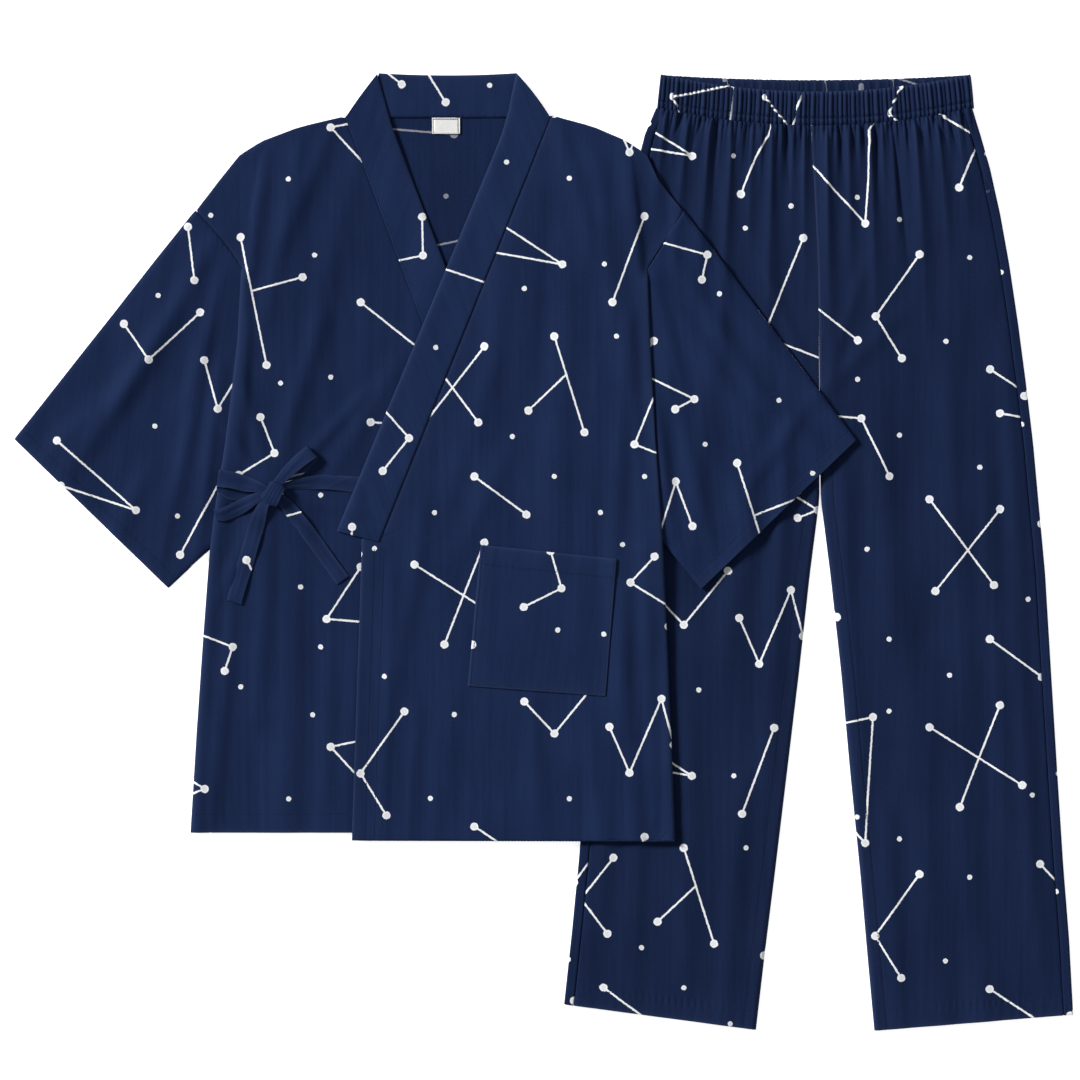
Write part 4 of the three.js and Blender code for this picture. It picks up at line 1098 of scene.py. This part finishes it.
def band(side, down, bolt, seam, free, turn):
    """A strip folded double: thick, smooth, rounded at the neckline, stitched where it is sewn on."""
    mid = lay_on(f"collar_{side}", edge_spaced(141, 0.47), edge_spaced(22, 0.045), down=down, head=0.030, foot=0.018,
                 smooth=6, sink=0.8)
    x, drop, near = jacket_places(mid)
    height = below_relief(mid) + jacket_relief(x, drop) + 0.25
    height += 0.35 * bell(near[free], 7.0, 8.0) - 0.8 * roll(near[free], 3.2)
    height += 0.13 * ripple(near["head"], 8.0, 0.7) * bell(near[seam], 5.0, 6.0) - 0.55 * roll(near[seam], 2.0)
    height += 0.12 * ripple(near["head"], 37.0, 2.0) * bell(near[free], 12.0, 10.0)
    height -= 0.35 * bell(near["foot"], 3.2, 0.8) + 0.4 * roll(near["foot"], 1.6)
    make_cloth(f"collar_{side}_cloth", lift(mid, height), bolt, BAND_COTTON_PAINTED_LIGHTER, DOUBLED, highlit=[free], turn=turn)


def collar_neck():
    mid = lay_on("collar_back", edge_spaced(26, 0.043), edge_spaced(90, 0.12), head=0.004, foot=0.004, sink=0.8)
    x, drop, near = jacket_places(mid)
    height = 0.25 * jacket_relief(x, drop) + 0.3 - 0.7 * roll(near["head"], 3.0)
    height += seam_edge(near["foot"], x, 0.3, 0.5) + 0.18 * ripple(x, 27.0, 1.0) * bell(near["foot"], 10.0, 12.0)
    make_cloth("collar_neck_cloth", lift(mid, height), (95.0, 250.0), BAND_COTTON_PAINTED_LIGHTER, DOUBLED, highlit=["head"])


band("right", (159, -424), (414.0, 262.0), "left", "right", 20.0)
band("left", (-171.5, -425), (200.0, 60.0), "right", "left", -20.0)
collar_neck()

# %% Pocket and label
EDGES = ["left", "right", "head", "foot"]


def pocket():
    mid = lay_on("pocket", edge_spaced(64, 0.14), edge_spaced(62, 0.137), down=(-0.092, -0.996), head=0.007,
                 foot=0.007, smooth=3)
    x, drop, near = jacket_places(mid)
    height = below_relief(mid) + jacket_relief(x, drop) + 0.15
    height += 0.8 * fade(np.minimum(near["left"], near["right"]), 0, 50) * np.exp(-near["head"] / 30.0)
    for edge, phase, s in (("left", 0.3, near["foot"]), ("right", 1.8, near["foot"]), ("foot", 2.9, near["left"])):
        height -= 0.5 * roll(near[edge], 1.6) + 0.32 * bell(near[edge], 2.8, 0.8)
        height += 0.15 * ripple(s, 6.5, phase) * bell(near[edge], 4.0, 4.0)
    height += hem(near["head"], near["left"], 20.0, 0.8, 0.35)
    make_cloth("pocket_cloth", lift(mid, height), (450.0, 330.0), highlit=EDGES, turn=5.0)


def label():
    mid = lay_on("neck_label", edge_spaced(12, 0.016), edge_spaced(20, 0.028), smooth=2, sink=0.4)
    x, drop, near = jacket_places(mid)
    edge = np.min([near[side] for side in EDGES], axis=0)
    height = 0.25 * jacket_relief(x, drop) + 0.25 - 0.22 * bell(edge, 1.6, 0.5)
    height += 0.10 * np.sin(x / 4.2 + 1) * np.sin(drop / 5.0)
    make_cloth("label_tape", lift(mid, height), (0.0, 0.0), LABEL_TAPE, thickness=0.0006)


pocket()
label()
print("jacket laid out")

# %% [markdown]
# ## The bow
# Each tie is a narrow strip folded double. It is carried along a listed route: how far above the
# front it lies, how wide it is, which way its width points and how it is tilted. A loop runs out from
# the knot, turns over at its tip and comes back a little to one side, so both of its layers show.

# %% Strips along a route
def skin_of(name):
    mesh = MADE[name].data
    return skin_tree([v.co for v in mesh.vertices], mesh.polygons)


FRONT_SKIN = skin_of("jacket_front_right_cloth")


def front_top(x, drop):
    """How high the right front's upper surface is, in the jacket's frame."""
    return drop_ray(FRONT_SKIN, NECK_X + x * MM, NECK_Y - drop * MM, near=0.1).z / MM


def smooth_route(route, count):
    """Catmull-Rom through the rows of a route, evenly spaced along it."""
    rows = np.array(route, float)
    ends = np.vstack([2 * rows[0] - rows[1], rows, 2 * rows[-1] - rows[-2]])
    t = np.linspace(0, 1, 24, endpoint=False)[:, None]
    fine = []
    for a, b, c, d in zip(ends, ends[1:], ends[2:], ends[3:]):
        cube = (3 * b - a - 3 * c + d) * t ** 3
        fine.append(0.5 * (2 * b + (c - a) * t + (2 * a - 5 * b + 4 * c - d) * t ** 2 + cube))
    fine = np.vstack(fine + [rows[-1:]])
    along = distance_along(fine[:, :3]) * MM
    want = np.linspace(0, along[-1], count)
    return np.stack([np.interp(want, along, column) for column in fine.T], axis=1), want


def strip(name, bolt, route, creases, thickness=0.0010):
    """route rows: x, drop, rise above the front, width, the way its width points, tilt."""
    count = max(20, int(sum(math.dist(a[:3], b[:3]) for a, b in zip(route, route[1:])) / 1.1))
    line, along = smooth_route(route, count)
    across = edge_spaced(14, 0.015, 0.0010)[None, :] - 0.5
    heading, tilt = np.radians(line[:, 4:5]), np.radians(line[:, 5:6])
    reach_out = line[:, 3:4] * across
    x = line[:, 0:1] + reach_out * np.cos(heading) * np.cos(tilt)
    drop = line[:, 1:2] - reach_out * np.sin(heading) * np.cos(tilt)
    base = np.array([np.mean([front_top(a + dx, b) for dx in (-3, 0, 3)]) for a, b in line[:, :2]])
    base = evened(np.tile(base[:, None], (1, 3)), 5)[:, 1:2]
    fold = 0.28 * np.clip(3 - 6 * np.abs(across), 0, 1) - 0.14
    z = base + line[:, 2:3] + reach_out * np.sin(tilt) + fold + ridges(creases, x, drop)
    mid = np.dstack([NECK_X + x * MM, NECK_Y - drop * MM, z * MM])
    cut = np.dstack(np.broadcast_arrays(across * 15.0 + bolt[0], along[:, None] + bolt[1]))
    # both long edges of a tie get the painted highlight
    make_cloth(name, mid, cut, thickness=thickness, highlit=["left", "right"])


# %% Tails, ties and loops
TIES = {
    # the route: x, drop, rise above the front, width, the way its width points, tilt
    "tail_right_cloth": dict(bolt=(300.0, 96.0), route=[
        (-177, 423, 3.2, 8, -30, 0), (-184, 433, 2.6, 11, -27, 10), (-190, 450, 1.1, 15.5, -22, -6),
        (-196, 470, 0.9, 15.5, -19, 5), (-202, 491, 0.9, 15.5, -17, -4), (-208, 510, 0.9, 15, -17, 3),
        (-213.6, 529.5, 0.8, 15, -17, 0),
    ], creases=[
        (-186, 440, -196, 478, 2.0, 0.5), (-200, 484, -211, 522, 2.4, 0.4),
    ]),
    "tail_left_cloth": dict(bolt=(452.0, 520.0), route=[
        (-170, 423, 3.2, 9, 32, 0), (-160, 433, 2.6, 13, 36, -10), (-148, 448, 1.1, 14.5, 39, 7),
        (-134, 467, 0.9, 14.8, 38, -5), (-119, 488, 1.0, 14.5, 38, 5), (-104.4, 507.6, 0.8, 14.5, 34, 0),
    ], creases=[
        (-141, 457, -132, 466, 0.9, 0.5), (-158, 438, -140, 461, 2.0, 0.5), (-128, 474, -108, 500, 2.2, 0.4),
    ]),
    "loop_right_cloth": dict(bolt=(214.0, 200.0), route=[
        (-178, 418, 3.6, 6, -105, 0), (-188, 414.5, 4.2, 10, -108, 0), (-200, 411.5, 4.0, 15, -106, 8),
        (-214, 407.5, 3.6, 16.5, -100, 8), (-224, 405.8, 3.4, 17.3, -98, 4),
        (-228.0, 405.2, 2.9, 17.6, -98, 0), (-229.2, 407.0, 2.0, 17.6, -97, 0),
        (-228.0, 411, 1.2, 17, -96, 0), (-216, 419, 0.8, 16, -100, 0), (-202, 421, 1.1, 13, -105, 0),
        (-188, 420, 2.0, 9, -105, 0),
    ], creases=[
        (-190, 413, -216, 405, 1.9, 0.7), (-190, 416, -212, 413, 1.7, 0.6),
    ]),
    "tie_right_cloth": dict(bolt=(40.0, 96.0), route=[
        (-232.5, 441.5, 1.9, 11, 100, 0), (-224, 441.5, 2.0, 13, 104, 6), (-212, 436.5, 2.3, 14.5, 114, 12),
        (-200, 430, 2.9, 13, 118, -8), (-190, 424.5, 3.6, 10, 118, 0), (-180, 421, 3.8, 7, 114, 0),
    ], creases=[
        (-228, 440, -196, 426, 1.8, 0.6), (-214, 440, -194, 431, 1.6, 0.5),
    ]),
    "loop_left_cloth": dict(bolt=(116.0, 46.0), route=[
        (-176, 416, 3.8, 6, 130, 0), (-168, 408, 4.6, 9.5, 130, 0), (-158, 397.5, 4.9, 12.5, 131, -6),
        (-147, 387.5, 4.9, 14, 132, -8), (-138, 380.5, 4.8, 14.8, 132, -4), (-135.3, 378.6, 4.1, 15, 132, 0),
        (-134.6, 379.4, 2.9, 15, 132, 0), (-135.8, 381.6, 1.8, 15, 133, 0), (-143, 390.5, 1.2, 13, 133, 8),
        (-151, 400.5, 1.0, 10, 132, 6), (-160, 411, 1.8, 7, 130, 0), (-168, 416, 2.6, 6, 130, 0),
    ], creases=[
        (-166, 405, -146, 384, 1.8, 0.6),
    ]),
    "tie_left_cloth": dict(bolt=(500.0, 180.0), thickness=0.0008, route=[
        (-166, 413, 3.4, 6, 80, 0), (-158, 411.5, 2.7, 8, 84, 12), (-148, 410.5, 1.7, 11, 88, 14),
        (-136, 409.5, 1.1, 13.5, 90, 6), (-122, 409, 0.9, 14.5, 90, -5), (-108, 410, 0.75, 15, 92, -3),
        (-98, 411, 0.55, 15.5, 92, 0), (-85, 411.5, 0.5, 15.5, 92, 0),
    ], creases=[
        (-94, 403.5, -120, 414.5, 1.5, 0.35), (-158, 410, -132, 406, 1.6, 0.5),
        (-156, 413, -138, 414, 1.4, 0.5),
    ]),
}
for name, tie in TIES.items():
    strip(name, **tie)


# %% Knot
def knot():
    """The tie wound once round the others: a ring whose turns are drawn into creases along it."""
    where, half_run, half_high, wide, girth = (-173.6, 420.3), 12.2, 4.3, 17.0, 54.0
    run, over = np.radians(-120), np.radians(-30)
    turn = np.linspace(0, 2 * np.pi, 64, endpoint=False)
    cos, sin = np.cos(turn), np.sin(turn)
    share = edge_spaced(34, 0.017, 0.0008)[:, None]
    pull = 1 - 0.20 * np.abs(2 * share - 1) ** 2.6 - 0.10 * (1 - share)
    fine = 0.17 * ripple(share * wide, 3.3, 0.8) + 0.12 * ripple(share * wide, 2.0, 2.0)
    out = pull * half_run * np.sign(cos) * np.abs(cos) ** 0.86
    high = pull * half_high * np.sign(sin) * np.abs(sin) ** 0.90 + fine * np.clip(sin, 0, 1)
    aside = (share - 0.5) * (wide * (1 + 0.05 * cos) + 0.7 * np.sin(turn * 2))
    x = where[0] + out * math.cos(run) + aside * math.cos(over)
    drop = where[1] - out * math.sin(run) - aside * math.sin(over)
    z = front_top(*where) + 1.0 + half_high + high
    mid = np.dstack([NECK_X + x * MM, NECK_Y - drop * MM, z * MM])
    cut = np.dstack(np.broadcast_arrays(girth * turn / (2 * np.pi) + 18.0, share * wide + 470.0))
    # both edges of the knot get the painted highlight
    make_cloth("knot_cloth", mid, cut, wrapped=True, highlit=["head", "foot"])


knot()

# %% [markdown]
# ## Stitching
# Every stitch is a short bead of thread with its two ends sunk in the cloth. A row follows an edge of
# a piece at a set distance, which is read off the piece's own grid, so it dips with the cloth.

# %% One row of stitches
STITCH, STITCH_GAP, THREAD = 2.3, 0.9, 0.26  # millimetres: length, gap to the next, the thread's radius


def row_path(name, edge, inset, start=None, stop=0, columns=slice(None), under=None):
    """Places on a piece's upper face this many millimetres in from one of its edges. With start and stop it is
    the stretch between those distances along it, where stop counts from its end if it isn't above 0. With
    under it is only what lies lower than that in the jacket's frame."""
    mid, normals, thickness = GRIDS[name]
    top = (mid + normals * thickness / 2)[:, columns]
    near = edge_distances(mid[:, columns])[edge]
    if edge in ("left", "right"):
        top, near = top.transpose(1, 0, 2), near.T
    if edge in ("foot", "right"):
        top, near = top[::-1], near[::-1]
    path = np.array([[np.interp(inset, near[:, k], top[:, k, axis]) for axis in range(3)]
                     for k in range(near.shape[1])])
    if under is not None:
        path = path[(NECK_Y - path[:, 1]) / MM > under]
    if start is None:
        return path
    along = distance_along(path)
    want = np.arange(start, along[-1] + stop if stop <= 0 else stop, 1.0)
    return np.stack([np.interp(want, along, axis) for axis in path.T], axis=1)


def stitch_beads(path, length, gap, radius):
    """Vertices and faces of the stitches along a path: beads with five sides and sunken, narrow ends."""
    along = distance_along(path)
    swing = 2 * np.pi * np.arange(5)[:, None] / 5
    points, faces = [], []
    for number, start in enumerate(np.arange(0.4, along[-1] - length, length + gap)):
        first = start + 0.12 * math.sin(number * 2.4)
        stations = first + length * np.array([0.0, 0.22, 0.78, 1.0])
        centres = np.stack([np.interp(stations, along, axis) for axis in path.T], axis=1)
        centres[:, 2] += np.array([-0.25, 0.75, 0.75, -0.25]) * radius * MM
        forward = centres[-1] - centres[0]
        forward /= max(np.linalg.norm(forward), 1e-9)
        side, up = np.array([-forward[1], forward[0], 0.0]), np.array([0.0, 0.0, 1.0])
        base = len(points)
        for centre, size in zip(centres, (0.45, 1.0, 1.0, 0.45)):
            points += list(centre + (side * np.cos(swing) + up * np.sin(swing)) * size * radius * MM)
        for ring in range(0, 15, 5):
            for k in range(5):
                a, b = base + ring + k, base + ring + (k + 1) % 5
                faces.append((a, b, b + 5, a + 5))
        faces += [tuple(range(base + 4, base - 1, -1)), tuple(range(base + 15, base + 20))]
    return points, faces


def sew(name, paths, material=None, length=STITCH, gap=STITCH_GAP, radius=THREAD):
    """One mesh with the stitches of all these paths."""
    points, faces = [], []
    for path in paths:
        more, sides = stitch_beads(path, length, gap, radius)
        faces += [tuple(index + len(points) for index in face) for face in sides]
        points += more
    mesh = bpy.data.meshes.new(name)
    mesh.from_pydata(points, [], faces)
    mesh.polygons.foreach_set("use_smooth", np.ones(len(mesh.polygons), bool))
    mesh.materials.append(material or NAVY_THREAD_PAINTED_DARK)
    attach(put(name, mesh), "root")
    print(f"{name}: {len(faces) // 17} stitches")


def bar_tack(side):
    """The close stitches that stop the side pocket's mouth from tearing: short rows beside each other."""
    skin = skin_of("trouser_back_left" if side > 0 else "trouser_back_right")
    rows = []
    for step in range(4):
        ends = np.linspace((169.0, 117.0 + 0.7 * step), (175.5, 115.4 + 0.7 * step), 8)
        rows.append(np.array([drop_ray(skin, WAIST_X + side * x * MM, WAIST_Y - drop * MM) for x, drop in ends]))
    return rows


# %% Every row of stitches
SLEEVE_TOP_WALL = slice(0, 89)
FRONT_LEFT, FRONT_RIGHT = "jacket_front_left_cloth", "jacket_front_right_cloth"
sew("trouser_stitches", [
    row_path("trouser_front_left", "foot", 18.0), row_path("trouser_front_right", "foot", 18.0),
    row_path("trouser_front_left", "left", 12.5, 330), row_path("trouser_front_right", "right", 12.5, 330),
    row_path("trouser_front_left", "left", 3.0, 2, 285), row_path("trouser_front_left", "right", 2.2, 4, 88),
])
sew("waistband_stitches", [row_path("waistband_cloth", "foot", 7.2, columns=slice(2, 519))], length=1.9)
sew("pocket_mouth_tacks", bar_tack(1) + bar_tack(-1), PALE_THREAD, 1.9, 0.2, 0.30)
sew("jacket_hem_stitches", [
    row_path(FRONT_LEFT, "foot", 16.8), row_path(FRONT_RIGHT, "foot", 18.8),
    *(row_path(FRONT_LEFT, "left", inset, 0, -17, under=474) for inset in (12.5, 22.0)),
])
sew("sleeve_stitches", [row_path(f"sleeve_{side}_cloth", "head", 12.8, columns=SLEEVE_TOP_WALL)
                        for side in ("right", "left")])
sew("band_stitches", [
    row_path("collar_right_cloth", "left", 1.6), row_path("collar_left_cloth", "right", 1.6),
    row_path("collar_left_cloth", "foot", 3.2), row_path("collar_neck_cloth", "foot", 1.6),
])
sew("pocket_stitches", [
    row_path("pocket_cloth", "left", 2.6, 1, -2), row_path("pocket_cloth", "right", 2.6, 1, -2),
    row_path("pocket_cloth", "foot", 2.6, 3, -3), row_path("pocket_cloth", "head", 18.8, 3, -3),
])
sew("label_stitches", [row_path("label_tape", edge, 1.5, 1.5, -1.5) for edge in ("left", "right", "head", "foot")],
    WHITE_THREAD, 1.5, 0.7, 0.15)

# %% [markdown]
# ## The cut of each sheet
# Every piece was cut flat. Its flat size is written here from the pattern: the width and length of the
# cloth that shows, all round on a tube, and its area where the cut is not a rectangle.

# %% Flat cuts, and the solids that the cloth stands for
FRONT, BACK = [FRONT_RIGHT], ["jacket_back_cloth"]
SHEETS = [
    # piece, its solid, width, length, area, how it is held, what it lies on
    ("trouser_back_left", "trousers_back_left", 0.270, 0.925, 0.196, "laid", ["table"]),
    ("trouser_back_right", "trousers_back_right", 0.270, 0.925, 0.195, "laid", ["table"]),
    ("trouser_front_left", "trousers_front_left", 0.250, 0.924, 0.178, "laid", ["trouser_back_left"]),
    ("trouser_front_right", "trousers_front_right", 0.250, 0.923, 0.177, "laid", ["trouser_back_right"]),
    ("waistband_cloth", "waistband", 0.800, 0.036, None, "gathered", ["table"]),
    ("jacket_back_cloth", "jacket_back", 0.490, 0.715, 0.316, "laid", ["table", "trouser_front_right"]),
    (FRONT_RIGHT, "jacket_front_right", 0.345, 0.718, 0.180, "laid", BACK),
    (FRONT_LEFT, "jacket_front_left", 0.335, 0.726, 0.178, "laid", FRONT + BACK),
    ("sleeve_right_cloth", "sleeve_right", 0.465, 0.350, 0.107, "folded", ["table"] + BACK),
    ("sleeve_left_cloth", "sleeve_left", 0.450, 0.390, 0.100, "folded", ["trouser_front_right"] + BACK),
    ("collar_right_cloth", "collar_right", 0.048, 0.490, 0.0205, "folded", BACK),
    ("collar_left_cloth", "collar_left", 0.048, 0.495, 0.0204, "folded", FRONT),
    ("collar_neck_cloth", "collar_back", 0.160, 0.045, 0.0067, "folded", ["table"]),
    ("pocket_cloth", "pocket", 0.138, 0.142, None, "laid", [FRONT_LEFT]),
    ("label_tape", "neck_label", 0.028, 0.016, None, "laid", BACK),
    ("tail_right_cloth", "tie_tail_right", 0.0155, 0.114, None, "folded", FRONT),
    ("tail_left_cloth", "tie_tail_left", 0.0150, 0.108, None, "folded", FRONT),
    ("tie_right_cloth", "tie_right", 0.0145, 0.060, 0.00078, "folded", FRONT),
    ("tie_left_cloth", "tie_left", 0.0155, 0.084, 0.00114, "folded", FRONT),
    ("loop_right_cloth", "bow_loop_right", 0.0175, 0.106, 0.00148, "folded", FRONT),
    ("loop_left_cloth", "bow_loop_left", 0.0150, 0.109, 0.00134, "folded", FRONT),
    ("knot_cloth", "bow_knot", 0.0180, 0.052, None, "folded", FRONT),
]
for name, node, width, length, area, held, below in SHEETS:
    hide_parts(node)
print("sheets:", len(SHEETS), "with", round(sum(row[4] or row[2] * row[3] for row in SHEETS), 3), "square metres")
